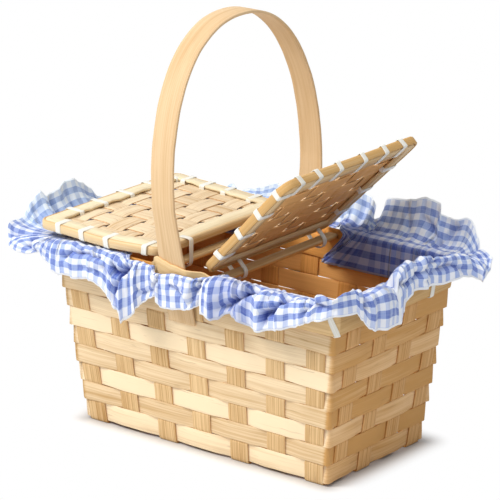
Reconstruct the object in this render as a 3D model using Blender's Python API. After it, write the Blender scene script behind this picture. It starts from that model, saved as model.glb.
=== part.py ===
"""Pie basket of woven wood splints with a bent handle, two hinged lids and a gathered gingham ruffle.

Run in Blender 4.5. Units are metres, +Z is up. The basket stands on the ground at z = 0, its long
side lies along X, and the origin is under the middle stake. The left lid is closed and the right
lid stands open, as in the photograph.
"""

import math

import bmesh
import bpy

MM = 0.001

# Splints
STAKE_THICK = 1.2 * MM
OVER = 0.75 * MM
CROSS_STAKE_WIDTH = 20.4 * MM
LONG_STAKE_WIDTH = 19.0 * MM

# Woven wall, measured on the middle surface of the weave
BASE_MID_Z = OVER + STAKE_THICK / 2
BASE_HALF_LENGTH = 138.65 * MM
BASE_HALF_WIDTH = 71.6 * MM
SLOPE_LENGTH = 0.1216
SLOPE_WIDTH = 0.1061
CORNER_RADIUS = 2.2 * MM
BEND_RADIUS = 1.6 * MM
ROWS = 8
ROW_PITCH = 18.2 * MM
WEAVER_HEIGHT = 16.9 * MM
FIRST_WEAVER_Z = 3.2 * MM
WALL_TOP_Z = FIRST_WEAVER_Z + (ROWS - 1) * ROW_PITCH + WEAVER_HEIGHT
FLAT_MARGIN = 1.0 * MM
ROW_MARGIN = 0.1 * MM
HOLD = 10.0 * MM

# Stakes: places at the base and the pitch at the top of the weave
CROSS_COUNT = 7
CROSS_PITCH_BASE = 41.67 * MM
CROSS_PITCH_TOP = 45.9 * MM
LONG_COUNT = 4
LONG_PITCH_BASE = 38.2 * MM
LONG_PITCH_TOP = 42.5 * MM
LONG_CENTRE_BASE = 1.3 * MM
LONG_CENTRE_TOP = 6.0 * MM
STAKE_TOP_Z = 176.0 * MM

# Rim bands
BAND_BOTTOM_Z = 149.0 * MM
OUTER_BAND_TOP_Z = 177.5 * MM
INNER_BAND_TOP_Z = 169.7 * MM
BAND_GAP = 0.9 * MM
OUTER_BAND_THICK = 2.4 * MM
INNER_BAND_THICK = 2.0 * MM

# Handle, which leans a little to the left above the rim
HANDLE_X = -12.0 * MM
HANDLE_WIDTH = 25.0 * MM
HANDLE_THICK = 2.6 * MM
HANDLE_BOTTOM_Z = 126.0 * MM
HANDLE_BOTTOM_Y = 87.9 * MM
HANDLE_WIDEST_Z = 240.0 * MM
HANDLE_HALF_SPREAD = 108.7 * MM
HANDLE_TOP_Z = 393.2 * MM
HANDLE_LEG_CURVE = 1.25
HANDLE_ARCH_CURVE = 2.2
HANDLE_LEAN = 0.055
HANDLE_LEAN_Z = 165.0 * MM
HANDLE_EDGE = 0.8 * MM
LOOP_LOW_OUT = 7.6 * MM
LOOP_HIGH_OUT = 10.1 * MM
LOOP_FLAT = 14.5 * MM
LOOP_END = 32.0 * MM

# Hinge bars and lids, in each lid's own frame: u runs from the hinge to the free edge, v is up
BAR_Z = 172.0 * MM
BAR_WIDTH = 11.0 * MM
BAR_THICK = 4.0 * MM
LEFT_BAR_X = -36.0 * MM
RIGHT_BAR_X = 25.0 * MM
LEFT_LID_OPEN_DEG = 1.4
RIGHT_LID_OPEN_DEG = 45.5
LID_HINGE_U = -2.0 * MM
LID_FREE_U = 137.0 * MM
LID_HALF_HINGE = 92.0 * MM
LID_HALF_FREE = 99.8 * MM
LID_CORNER = 12.0 * MM
LEFT_LID_V = 12.3 * MM
RIGHT_LID_V = 9.2 * MM
LEFT_LID_Y = -1.5 * MM
RIGHT_LID_Y = 1.0 * MM
LID_THICK = 8.0 * MM
LID_ROUND_EDGE = 1.0 * MM
EDGE_BAND_THICK = 2.5 * MM
RAIL_WIDTH = 14.0 * MM
RAIL_THICK = 2.4 * MM
TOUCH_GAP = 0.3 * MM
PANEL_THICK = 1.0 * MM
PANEL_OVER = 0.65 * MM
SLAT_COUNT = 6
SLAT_WIDTH = 19.0 * MM
SLAT_PITCH = 20.6 * MM
SLAT_START_U = 4.5 * MM
RUNNER_COUNT = 6
RUNNER_WIDTH = 26.6 * MM
RUNNER_PITCH_HINGE = 29.0 * MM
RUNNER_PITCH_FREE = 31.0 * MM
PANEL_MARGIN = 0.3 * MM
PANEL_CLEAR = 1.9 * MM
TIE_WIDTH = 5.0 * MM
TIE_THICK = 1.2 * MM
TIE_CLEAR = 6.6 * MM
TIE_HOOK = 13.0 * MM
TIE_PLACES = (-52.0 * MM, 66.0 * MM)

# Ruffle: a cloth ring over the rim, its hem height and reach set at places round the rim
CLOTH_THICK = 1.6 * MM
CLOTH_SEGMENTS = 112
CLOTH_CORNER = 8.0 * MM
CLOTH_LEAN = 0.13
LEDGE_REACH = 21.0 * MM
LEDGE_Z = 179.4 * MM
LEDGE_DROOP = 12.0 * MM
FOLD_COUNT = 27
FOLD_OUT = 5.0 * MM
FOLD_UP = 4.5 * MM
LIFT_FROM = 66.0 * MM
LIFT_TO = 49.0 * MM
SHIFT_TO = 34.0 * MM
DROP_TO = 29.0 * MM
# Each entry is a share of the way round from the front left corner, hem height, hem reach
HEM_PLACES = (
    (0.000, 166 * MM, 42 * MM),
    (0.020, 152 * MM, 34 * MM),
    (0.045, 149 * MM, 26 * MM),
    (0.081, 130 * MM, 23 * MM),
    (0.110, 139 * MM, 20 * MM),
    (0.142, 147 * MM, 20 * MM),
    (0.185, 143 * MM, 21 * MM),
    (0.235, 143 * MM, 20 * MM),
    (0.280, 154 * MM, 21 * MM),
    (0.315, 164 * MM, 24 * MM),
    (0.345, 152 * MM, 21 * MM),
    (0.375, 155 * MM, 21 * MM),
    (0.405, 171 * MM, 27 * MM),
    (0.440, 174 * MM, 36 * MM),
    (0.475, 172 * MM, 42 * MM),
    (0.494, 182 * MM, 38 * MM),
    (0.515, 205 * MM, 33 * MM),
    (0.535, 213 * MM, 30 * MM),
    (0.580, 212 * MM, 29 * MM),
    (0.640, 203 * MM, 28 * MM),
    (0.700, 196 * MM, 28 * MM),
    (0.745, 185 * MM, 31 * MM),
    (0.810, 174 * MM, 33 * MM),
    (0.860, 175 * MM, 31 * MM),
    (0.895, 196 * MM, 31 * MM),
    (0.930, 209 * MM, 33 * MM),
    (0.962, 203 * MM, 42 * MM),
    (0.985, 186 * MM, 44 * MM),
)


def clear_scene():
    for obj in list(bpy.data.objects):
        bpy.data.objects.remove(obj, do_unlink=True)


def make_material(name, colour, roughness):
    material = bpy.data.materials.new(name)
    material.use_nodes = True
    shader = material.node_tree.nodes["Principled BSDF"]
    shader.inputs["Base Color"].default_value = (*colour, 1.0)
    shader.inputs["Roughness"].default_value = roughness
    shader.inputs["Metallic"].default_value = 0.0
    material.diffuse_color = (*colour, 1.0)
    return material


def mesh_object(name, verts, faces, material, parent=None):
    mesh = bpy.data.meshes.new(name)
    mesh.from_pydata([tuple(v) for v in verts], [], faces)
    surface = bmesh.new()
    surface.from_mesh(mesh)
    bmesh.ops.recalc_face_normals(surface, faces=surface.faces)
    surface.to_mesh(mesh)
    surface.free()
    mesh.materials.append(material)
    obj = bpy.data.objects.new(name, mesh)
    bpy.context.scene.collection.objects.link(obj)
    obj.parent = parent
    return obj


def swept_object(name, sections, material, closed=False, parent=None):
    """Join matching loops of points into one closed solid, with end faces unless it is a hoop."""
    size = len(sections[0])
    verts = [point for section in sections for point in section]
    faces = []
    spans = len(sections) if closed else len(sections) - 1
    for i in range(spans):
        here = i * size
        there = ((i + 1) % len(sections)) * size
        for k in range(size):
            after = (k + 1) % size
            faces.append((here + k, here + after, there + after, there + k))
    if not closed:
        last = (len(sections) - 1) * size
        faces.append(tuple(range(size - 1, -1, -1)))
        faces.append(tuple(last + k for k in range(size)))
    return mesh_object(name, verts, faces, material, parent)


def mix(a, b, t):
    return a + (b - a) * t


def ramp(x, start, end):
    """A smooth 0 to 1 step as x goes from start to end, in either direction."""
    t = min(max((x - start) / (end - start), 0.0), 1.0)
    return t * t * (3 - 2 * t)


def half_length(z):
    return BASE_HALF_LENGTH + SLOPE_LENGTH * (z - BASE_MID_Z)


def half_width(z):
    return BASE_HALF_WIDTH + SLOPE_WIDTH * (z - BASE_MID_Z)


def height_share(z):
    return (z - BASE_MID_Z) / (WALL_TOP_Z - BASE_MID_Z)


def cross_stake_x(i, z):
    pitch = mix(CROSS_PITCH_BASE, CROSS_PITCH_TOP, height_share(z))
    return (i - (CROSS_COUNT - 1) / 2) * pitch


def long_stake_y(j, z):
    share = height_share(z)
    pitch = mix(LONG_PITCH_BASE, LONG_PITCH_TOP, share)
    return mix(LONG_CENTRE_BASE, LONG_CENTRE_TOP, share) + (j - (LONG_COUNT - 1) / 2) * pitch


def row_limits(row):
    """Lower and upper edge of a weaver. Row 0 is the top one."""
    low = FIRST_WEAVER_Z + (ROWS - 1 - row) * ROW_PITCH
    return low, low + WEAVER_HEIGHT


def stake_side(place, row):
    """+1 where the stake at this place round the basket passes outside the weaver, else -1."""
    return 1 if (place + row) % 2 == 1 else -1


def wall_stations(place):
    """Height and outward offset of a stake's middle up one wall, from the base to its top."""
    stations = []
    for row in range(ROWS - 1, -1, -1):
        low, high = row_limits(row)
        offset = stake_side(place, row) * OVER
        stations.append((low - ROW_MARGIN, offset))
        stations.append((high + ROW_MARGIN, offset))
    stations.append((BAND_BOTTOM_Z, 0.0))
    stations.append((STAKE_TOP_Z, 0.0))
    return stations


def bend_stations(wall_offset, base_offset, half_span):
    """Quarter turn from the foot of a wall to the base: distance out, height and outward direction."""
    stations = []
    for step in range(1, 4):
        angle = math.radians(30 * step)
        offset = mix(wall_offset, base_offset, step / 3)
        reach = BEND_RADIUS + offset
        out = half_span - BEND_RADIUS + reach * math.cos(angle)
        z = BASE_MID_Z + BEND_RADIUS - reach * math.sin(angle)
        stations.append((out, z, math.cos(angle), -math.sin(angle)))
    return stations


def base_stations(crossings, crossing_width, first_under):
    """Place along the base and downward offset, flat at each crossing and ramped between."""
    stations = []
    for k, place in enumerate(crossings):
        under = first_under if k % 2 == 0 else not first_under
        reach = crossing_width / 2 + ROW_MARGIN + (HOLD if under else 0.0)
        offset = OVER if under else -OVER
        first = k == 0
        last = k == len(crossings) - 1
        start = place - crossing_width / 2 - ROW_MARGIN if first else place - reach
        end = place + crossing_width / 2 + ROW_MARGIN if last else place + reach
        stations.append((start, offset))
        stations.append((end, offset))
    return stations


def stake_points(near_place, far_place, half_span, crossings, crossing_width, first_under):
    """Middle line of a stake: wall, base and wall, as (along, z, outward along, outward z)."""
    points = []
    base = base_stations(crossings, crossing_width, first_under)
    near_wall = wall_stations(near_place)
    far_wall = wall_stations(far_place)
    for z, offset in reversed(near_wall):
        points.append((-(half_span(z) + offset), z, -1.0, 0.0))
    for out, z, along, up in bend_stations(near_wall[0][1], base[0][1], half_span(BASE_MID_Z)):
        points.append((-out, z, -along, up))
    for place, offset in base:
        points.append((place, BASE_MID_Z - offset, 0.0, -1.0))
    for out, z, along, up in reversed(
        bend_stations(far_wall[0][1], base[-1][1], half_span(BASE_MID_Z))
    ):
        points.append((out, z, along, up))
    for z, offset in far_wall:
        points.append((half_span(z) + offset, z, 1.0, 0.0))
    return points


def stake_sections(points, width, across, to_world):
    """Four-cornered sections along a stake, its width laid across the path."""
    sections = []
    for along, z, out_along, out_z in points:
        section = []
        for side, face in ((-1, -1), (1, -1), (1, 1), (-1, 1)):
            shift = face * STAKE_THICK / 2
            place = across(z, along) + side * width / 2
            section.append(to_world(place, along + out_along * shift, z + out_z * shift))
        sections.append(section)
    return sections


def make_cross_stakes(material):
    crossings = [long_stake_y(j, BASE_MID_Z) for j in range(LONG_COUNT)]
    for i in range(CROSS_COUNT):
        back_place = CROSS_COUNT + LONG_COUNT + (CROSS_COUNT - 1 - i)
        points = stake_points(i, back_place, half_width, crossings, LONG_STAKE_WIDTH, i % 2 == 0)
        sections = stake_sections(
            points,
            CROSS_STAKE_WIDTH,
            lambda z, along: cross_stake_x(i, max(z, BASE_MID_Z)),
            lambda place, along, z: (place, along, z),
        )
        swept_object(f"cross_stake_{i + 1}", sections, material)


def make_long_stakes(material):
    crossings = [cross_stake_x(i, BASE_MID_Z) for i in range(CROSS_COUNT)]
    for j in range(LONG_COUNT):
        right_place = CROSS_COUNT + j
        left_place = 2 * CROSS_COUNT + LONG_COUNT + (LONG_COUNT - 1 - j)
        points = stake_points(
            left_place, right_place, half_length, crossings, CROSS_STAKE_WIDTH, j % 2 == 1
        )
        sections = stake_sections(
            points,
            LONG_STAKE_WIDTH,
            lambda z, along: long_stake_y(j, max(z, BASE_MID_Z)),
            lambda place, along, z: (along, place, z),
        )
        swept_object(f"long_stake_{j + 1}", sections, material)


def hoop_point(face, place, z, out):
    """A point on one of the four walls: place runs round the basket anticlockwise from above."""
    length = half_length(z) + out
    width = half_width(z) + out
    if face == 0:
        return place, -width, z
    if face == 1:
        return length, place, z
    if face == 2:
        return -place, width, z
    return -length, -place, z


def corner_point(face, angle, z, out, radius):
    """A point on the round corner after the given wall."""
    signs = ((1, -1), (1, 1), (-1, 1), (-1, -1))
    sign_x, sign_y = signs[face]
    centre_x = sign_x * (half_length(z) - radius)
    centre_y = sign_y * (half_width(z) - radius)
    turn = math.radians(face * 90 - 90 + angle)
    reach = radius + out
    return centre_x + reach * math.cos(turn), centre_y + reach * math.sin(turn), z


def face_stakes(face, z):
    """Places of the stakes along one wall, in the direction that hoop_point runs."""
    if face == 0:
        return [cross_stake_x(i, z) for i in range(CROSS_COUNT)]
    if face == 1:
        return [long_stake_y(j, z) for j in range(LONG_COUNT)]
    if face == 2:
        return [-cross_stake_x(i, z) for i in range(CROSS_COUNT - 1, -1, -1)]
    return [-long_stake_y(j, z) for j in range(LONG_COUNT - 1, -1, -1)]


def face_start(face):
    return (0, CROSS_COUNT, CROSS_COUNT + LONG_COUNT, 2 * CROSS_COUNT + LONG_COUNT)[face]


def hoop_section(point_at, low, high, inner, outer):
    """The four corners of a band standing on edge between two heights and two offsets."""
    return [
        point_at(low, inner),
        point_at(low, outer),
        point_at(high, outer),
        point_at(high, inner),
    ]


def make_weavers(material):
    corner_angles = (0, 30, 60, 90)
    places = 2 * (CROSS_COUNT + LONG_COUNT)
    for row in range(ROWS):
        low, high = row_limits(row)
        middle = (low + high) / 2
        sections = []
        for face in range(4):
            stakes = face_stakes(face, middle)
            width = CROSS_STAKE_WIDTH if face % 2 == 0 else LONG_STAKE_WIDTH
            reach = width / 2 + FLAT_MARGIN
            for k, stake in enumerate(stakes):
                offset = -stake_side(face_start(face) + k, row) * OVER
                for place in (stake - reach, stake + reach):
                    sections.append(
                        hoop_section(
                            lambda z, out: hoop_point(face, place, z, out),
                            low,
                            high,
                            offset - STAKE_THICK / 2,
                            offset + STAKE_THICK / 2,
                        )
                    )
            following = (face_start(face) + len(stakes)) % places
            next_offset = -stake_side(following, row) * OVER
            for angle in corner_angles:
                turn_offset = mix(offset, next_offset, angle / 90)
                sections.append(
                    hoop_section(
                        lambda z, out: corner_point(face, angle, z, out, CORNER_RADIUS),
                        low,
                        high,
                        turn_offset - STAKE_THICK / 2,
                        turn_offset + STAKE_THICK / 2,
                    )
                )
        swept_object(f"weaver_{row + 1}", sections, material, closed=True)


def loop_bulge(x, z):
    """How far the outer rim band bows out to pass round a handle leg."""
    share = (z - BAND_BOTTOM_Z) / (OUTER_BAND_TOP_Z - BAND_BOTTOM_Z)
    most = mix(LOOP_LOW_OUT, LOOP_HIGH_OUT, share) - BAND_GAP
    return most * (1 - ramp(abs(x - HANDLE_X), LOOP_FLAT, LOOP_END))


def rim_places(face):
    """Places along one wall where a rim band needs a section."""
    if face % 2 == 1:
        return []
    sign = 1 if face == 0 else -1
    steps = 4
    offsets = [LOOP_FLAT + (LOOP_END - LOOP_FLAT) * k / steps for k in range(steps + 1)]
    places = [HANDLE_X - d for d in reversed(offsets)] + [HANDLE_X + d for d in offsets]
    return sorted(sign * place for place in places)


def make_rim_band(name, inner, outer, low, high, bulges, material):
    sections = []
    for face in range(4):
        for place in rim_places(face) if bulges else []:
            x = place if face == 0 else -place
            sections.append(
                hoop_section(
                    lambda z, out: hoop_point(face, place, z, out + loop_bulge(x, z)),
                    low,
                    high,
                    inner,
                    outer,
                )
            )
        for angle in (0, 22.5, 45, 67.5, 90):
            sections.append(
                hoop_section(
                    lambda z, out: corner_point(face, angle, z, out, 2 * CORNER_RADIUS),
                    low,
                    high,
                    inner,
                    outer,
                )
            )
    swept_object(name, sections, material, closed=True)


def make_rim(material):
    make_rim_band(
        "outer_rim_band",
        BAND_GAP,
        BAND_GAP + OUTER_BAND_THICK,
        BAND_BOTTOM_Z,
        OUTER_BAND_TOP_Z,
        True,
        material,
    )
    make_rim_band(
        "inner_rim_band",
        -BAND_GAP - INNER_BAND_THICK,
        -BAND_GAP,
        BAND_BOTTOM_Z,
        INNER_BAND_TOP_Z,
        False,
        material,
    )


def handle_line():
    """Middle line of the back half of the handle as (y, z), from its foot to its top."""
    points = []
    leg_steps = 12
    for k in range(leg_steps):
        z = mix(HANDLE_BOTTOM_Z, HANDLE_WIDEST_Z, k / leg_steps)
        share = (HANDLE_WIDEST_Z - z) / (HANDLE_WIDEST_Z - HANDLE_BOTTOM_Z)
        drop = (HANDLE_HALF_SPREAD - HANDLE_BOTTOM_Y) * share**HANDLE_LEG_CURVE
        points.append((HANDLE_HALF_SPREAD - drop, z))
    arch_steps = 14
    power = 2 / HANDLE_ARCH_CURVE
    for k in range(arch_steps + 1):
        angle = math.pi / 2 * k / arch_steps
        y = HANDLE_HALF_SPREAD * max(math.cos(angle), 0.0) ** power
        z = HANDLE_WIDEST_Z + (HANDLE_TOP_Z - HANDLE_WIDEST_Z) * math.sin(angle) ** power
        points.append((y, z))
    return points


def make_handle(material):
    half = handle_line()
    line = half[:-1] + [(0.0, half[-1][1])] + [(-y, z) for y, z in reversed(half[:-1])]
    half_w = HANDLE_WIDTH / 2
    half_t = HANDLE_THICK / 2
    outline = (
        (-half_w + HANDLE_EDGE, -half_t),
        (half_w - HANDLE_EDGE, -half_t),
        (half_w, -half_t + HANDLE_EDGE),
        (half_w, half_t - HANDLE_EDGE),
        (half_w - HANDLE_EDGE, half_t),
        (-half_w + HANDLE_EDGE, half_t),
        (-half_w, half_t - HANDLE_EDGE),
        (-half_w, -half_t + HANDLE_EDGE),
    )
    sections = []
    for k, (y, z) in enumerate(line):
        before = line[max(k - 1, 0)]
        after = line[min(k + 1, len(line) - 1)]
        length = math.hypot(after[0] - before[0], after[1] - before[1])
        out_y = (after[1] - before[1]) / length
        out_z = -(after[0] - before[0]) / length
        x = HANDLE_X - HANDLE_LEAN * max(z - HANDLE_LEAN_Z, 0.0)
        sections.append([(x + a, y + b * out_y, z + b * out_z) for a, b in outline])
    swept_object("handle", sections, material)


def make_bar(name, x, material):
    """A flat slat across the basket on the inner rim band, which carries one lid."""
    reach = half_width(BAR_Z) - STAKE_THICK / 2 - TOUCH_GAP
    sections = []
    for y in (-reach, reach):
        sections.append(
            [
                (x - BAR_WIDTH / 2, y, BAR_Z - BAR_THICK / 2),
                (x + BAR_WIDTH / 2, y, BAR_Z - BAR_THICK / 2),
                (x + BAR_WIDTH / 2, y, BAR_Z + BAR_THICK / 2),
                (x - BAR_WIDTH / 2, y, BAR_Z + BAR_THICK / 2),
            ]
        )
    swept_object(name, sections, material)


def lid_share(u):
    return (u - LID_HINGE_U) / (LID_FREE_U - LID_HINGE_U)


def lid_half(u):
    return mix(LID_HALF_HINGE, LID_HALF_FREE, lid_share(u))


def lid_outline(inset):
    """The lid's round-cornered outline as (u, y), moved in by inset."""
    radius = max(LID_CORNER - inset, 1.0 * MM)
    low_u = LID_HINGE_U + inset + radius
    high_u = LID_FREE_U - inset - radius
    corners = (
        (low_u, -(LID_HALF_HINGE - inset - radius), 180),
        (high_u, -(LID_HALF_FREE - inset - radius), 270),
        (high_u, LID_HALF_FREE - inset - radius, 0),
        (low_u, LID_HALF_HINGE - inset - radius, 90),
    )
    points = []
    for centre_u, centre_y, start in corners:
        for step in range(5):
            angle = math.radians(start + 22.5 * step)
            points.append(
                (centre_u + radius * math.cos(angle), centre_y + radius * math.sin(angle))
            )
    return points


def make_lid_ring(name, profile, side, material, parent):
    """A hoop that follows the lid's outline. profile lists (inset, v) round its section."""
    outlines = [lid_outline(inset) for inset, v in profile]
    sections = []
    for k in range(len(outlines[0])):
        section = []
        for outline, (inset, v) in zip(outlines, profile):
            u, y = outline[k]
            section.append((side * u, y, v))
        sections.append(section)
    return swept_object(name, sections, material, closed=True, parent=parent)


def panel_room(u):
    """Half the width free for the panel inside the edge band, less at the round corners."""
    inset = EDGE_BAND_THICK + PANEL_CLEAR
    radius = LID_CORNER - inset
    room = lid_half(u) - inset
    for centre, corner in (
        (LID_HINGE_U + LID_CORNER, u < LID_HINGE_U + LID_CORNER),
        (LID_FREE_U - LID_CORNER, u > LID_FREE_U - LID_CORNER),
    ):
        if corner:
            room -= radius - math.sqrt(max(radius**2 - (u - centre) ** 2, 0.0))
    return room


def slat_centre(i):
    return SLAT_START_U + SLAT_PITCH * (i + 0.5)


def runner_centre(j, u):
    pitch = mix(RUNNER_PITCH_HINGE, RUNNER_PITCH_FREE, lid_share(u))
    return (j - (RUNNER_COUNT - 1) / 2) * pitch


def panel_side(i, j):
    """+1 where slat i passes above runner j, else -1."""
    return 1 if (i + j) % 2 == 0 else -1


def make_slat(name, i, side, middle, material, parent):
    """A splint of the lid's panel that runs across the basket."""
    u = slat_centre(i)
    end = min(panel_room(u - SLAT_WIDTH / 2), panel_room(u + SLAT_WIDTH / 2))
    stations = []
    for j in range(RUNNER_COUNT):
        centre = runner_centre(j, u)
        reach = RUNNER_WIDTH / 2 + 2 * PANEL_MARGIN
        v = middle + panel_side(i, j) * PANEL_OVER
        stations += [(centre - reach, v), (centre + reach, v)]
    stations = [(-end, stations[0][1])] + stations[1:-1] + [(end, stations[-1][1])]
    sections = []
    for y, v in stations:
        section = []
        for across, up in ((-1, -1), (1, -1), (1, 1), (-1, 1)):
            edge = u + across * SLAT_WIDTH / 2
            section.append((side * edge, y, v + up * PANEL_THICK / 2))
        sections.append(section)
    swept_object(name, sections, material, parent=parent)


def make_runner(name, j, side, middle, material, parent):
    """A splint of the lid's panel that runs from the hinge to the free edge."""
    start = LID_HINGE_U + EDGE_BAND_THICK + PANEL_CLEAR
    end = LID_FREE_U - EDGE_BAND_THICK - PANEL_CLEAR
    while panel_room(start) < abs(runner_centre(j, start)) + RUNNER_WIDTH / 2:
        start += TOUCH_GAP
    while panel_room(end) < abs(runner_centre(j, end)) + RUNNER_WIDTH / 2:
        end -= TOUCH_GAP
    stations = []
    for i in range(SLAT_COUNT):
        centre = slat_centre(i)
        reach = SLAT_WIDTH / 2 + PANEL_MARGIN
        v = middle - panel_side(i, j) * PANEL_OVER
        stations += [(centre - reach, v), (centre + reach, v)]
    stations = [(start, stations[0][1])] + stations[1:-1] + [(end, stations[-1][1])]
    sections = []
    for u, v in stations:
        section = []
        centre = runner_centre(j, u)
        for across, up in ((-1, -1), (1, -1), (1, 1), (-1, 1)):
            edge = centre + across * RUNNER_WIDTH / 2
            section.append((side * u, edge, v + up * PANEL_THICK / 2))
        sections.append(section)
    swept_object(name, sections, material, parent=parent)


def tie_line(lid_v):
    """Middle line of a hinge tie as (u, v): under the bar, up past the hinge edge, over the rail."""
    reach = TIE_CLEAR + TIE_THICK / 2
    bottom = lid_v - TOUCH_GAP
    top = lid_v + LID_THICK + TOUCH_GAP + TIE_THICK / 2
    line = [(reach, bottom)]
    for step in range(7):
        angle = math.radians(30 * step)
        line.append((reach * math.cos(angle), -reach * math.sin(angle)))
    line += [(-reach, top - TIE_THICK), (-reach + TIE_THICK, top), (-reach + TIE_HOOK, top)]
    return line


def make_hinge_tie(name, y, side, lid_v, material, parent):
    line = tie_line(lid_v)
    sections = []
    for k, (u, v) in enumerate(line):
        before = line[max(k - 1, 0)]
        after = line[min(k + 1, len(line) - 1)]
        length = math.hypot(after[0] - before[0], after[1] - before[1])
        out_u = (after[1] - before[1]) / length
        out_v = -(after[0] - before[0]) / length
        section = []
        for across, face in ((-1, -1), (1, -1), (1, 1), (-1, 1)):
            shift = face * TIE_THICK / 2
            place = y + across * TIE_WIDTH / 2
            section.append((side * (u + out_u * shift), place, v + out_v * shift))
        sections.append(section)
    swept_object(name, sections, material, parent=parent)


def make_lid(word, side, place, open_deg, materials):
    """One lid on an empty at its bar's axis. side is +1 for the right lid and -1 for the left."""
    bar_x, lid_y, bottom = place
    pivot = bpy.data.objects.new(f"{word}_lid_pivot", None)
    bpy.context.scene.collection.objects.link(pivot)
    pivot.location = (bar_x, lid_y, BAR_Z)
    pivot.rotation_euler = (0.0, -side * math.radians(open_deg), 0.0)
    top = bottom + LID_THICK
    middle = bottom + LID_THICK / 2
    band = (
        (0.0, bottom),
        (0.0, top - LID_ROUND_EDGE),
        (LID_ROUND_EDGE, top),
        (EDGE_BAND_THICK, top),
        (EDGE_BAND_THICK, bottom),
    )
    make_lid_ring(f"{word}_lid_edge_band", band, side, materials["rail"], pivot)
    near = EDGE_BAND_THICK + TOUCH_GAP
    far = near + RAIL_WIDTH
    for rail, low in (("under_rail", bottom), ("top_rail", top - RAIL_THICK)):
        profile = ((near, low), (near, low + RAIL_THICK), (far, low + RAIL_THICK), (far, low))
        make_lid_ring(f"{word}_lid_{rail}", profile, side, materials["rail"], pivot)
    for i in range(SLAT_COUNT):
        make_slat(f"{word}_lid_slat_{i + 1}", i, side, middle, materials["splint"], pivot)
    for j in range(RUNNER_COUNT):
        make_runner(f"{word}_lid_runner_{j + 1}", j, side, middle, materials["splint"], pivot)
    for k, y in enumerate(TIE_PLACES):
        make_hinge_tie(f"{word}_hinge_tie_{k + 1}", y, side, bottom, materials["tie"], pivot)


def rim_track():
    """Evenly spaced places round the rim: position, outward direction and share of the way."""
    z = STAKE_TOP_Z
    length = half_length(z) - CLOTH_CORNER
    width = half_width(z) - CLOTH_CORNER
    quarter = math.pi / 2 * CLOTH_CORNER
    sides = (2 * length, 2 * width, 2 * length, 2 * width)
    starts = ((-length, -width), (length, -width), (length, width), (-length, width))
    total = sum(sides) + 4 * quarter
    track = []
    for k in range(CLOTH_SEGMENTS):
        distance = total * k / CLOTH_SEGMENTS
        left = distance
        for face in range(4):
            along = math.radians(90 * face)
            direction = (math.cos(along), math.sin(along))
            outward = (direction[1], -direction[0])
            if left <= sides[face]:
                x = starts[face][0] + direction[0] * left + outward[0] * CLOTH_CORNER
                y = starts[face][1] + direction[1] * left + outward[1] * CLOTH_CORNER
                track.append((x, y, outward, distance / total))
                break
            left -= sides[face]
            if left <= quarter:
                turn = along - math.pi / 2 + left / CLOTH_CORNER
                outward = (math.cos(turn), math.sin(turn))
                centre = starts[(face + 1) % 4]
                x = centre[0] + outward[0] * CLOTH_CORNER
                y = centre[1] + outward[1] * CLOTH_CORNER
                track.append((x, y, outward, distance / total))
                break
            left -= quarter
    return track


def hem_at(share):
    """Hem height and reach between the listed places, eased from one to the next."""
    count = len(HEM_PLACES)
    for k in range(count):
        start, height, reach = HEM_PLACES[k]
        end, next_height, next_reach = HEM_PLACES[(k + 1) % count]
        if k == count - 1:
            end += 1.0
        if start <= share < end:
            t = ramp(share, start, end)
            return mix(height, next_height, t), mix(reach, next_reach, t)
    return HEM_PLACES[0][1], HEM_PLACES[0][2]


def cloth_profile(x, y, outward, share):
    """Middle line of the cloth at one place round the rim, as (outward, z) from inner to outer hem."""
    height, reach = hem_at(share)
    wave = 2 * math.pi * FOLD_COUNT * share
    height += FOLD_UP * math.sin(wave + 0.8 * math.sin(3 * wave / FOLD_COUNT))
    reach += FOLD_OUT * math.cos(wave)
    hem = (reach, height)
    middle_z = LEDGE_Z - LEDGE_DROOP * ramp(height, 190 * MM, 150 * MM)
    middle = (LEDGE_REACH + 0.3 * FOLD_OUT * math.cos(wave), middle_z)
    resting = ((-5.8, 152.0), (-5.8, 177.8), (5.4, 180.0))
    lifted = ((-6.4, 179.4), (-1.0, 180.2), (5.4, 180.0))
    shifted = ((13.2, 179.4), (14.6, 179.6), (16.2, 179.2))
    dropped = ((13.4, 168.0), (13.4, 173.0), (14.8, 176.5))
    distance = abs(x - HANDLE_X) if abs(outward[1]) > 0.99 else 1.0
    lift = ramp(distance, LIFT_FROM, LIFT_TO)
    shift = ramp(distance, LIFT_TO, SHIFT_TO)
    drop = ramp(distance, SHIFT_TO, DROP_TO)
    points = []
    for a, b, c, d in zip(resting, lifted, shifted, dropped):
        out = mix(mix(mix(a[0], b[0], lift), c[0], shift), d[0], drop) * MM
        z = mix(mix(mix(a[1], b[1], lift), c[1], shift), d[1], drop) * MM
        points.append((out - CLOTH_LEAN * (STAKE_TOP_Z - z), z))
    return points + [middle, hem]


def make_ruffle(material):
    sections = []
    for x, y, outward, share in rim_track():
        line = cloth_profile(x, y, outward, share)
        upper = []
        lower = []
        for k, (out, z) in enumerate(line):
            before = line[max(k - 1, 0)]
            after = line[min(k + 1, len(line) - 1)]
            length = math.hypot(after[0] - before[0], after[1] - before[1])
            normal = (-(after[1] - before[1]) / length, (after[0] - before[0]) / length)
            for face, side in ((upper, 1), (lower, -1)):
                shift = side * CLOTH_THICK / 2
                reach = out + normal[0] * shift
                face.append((x + outward[0] * reach, y + outward[1] * reach, z + normal[1] * shift))
        sections.append(upper + lower[::-1])
    swept_object("ruffle", sections, material, closed=True)


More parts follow.
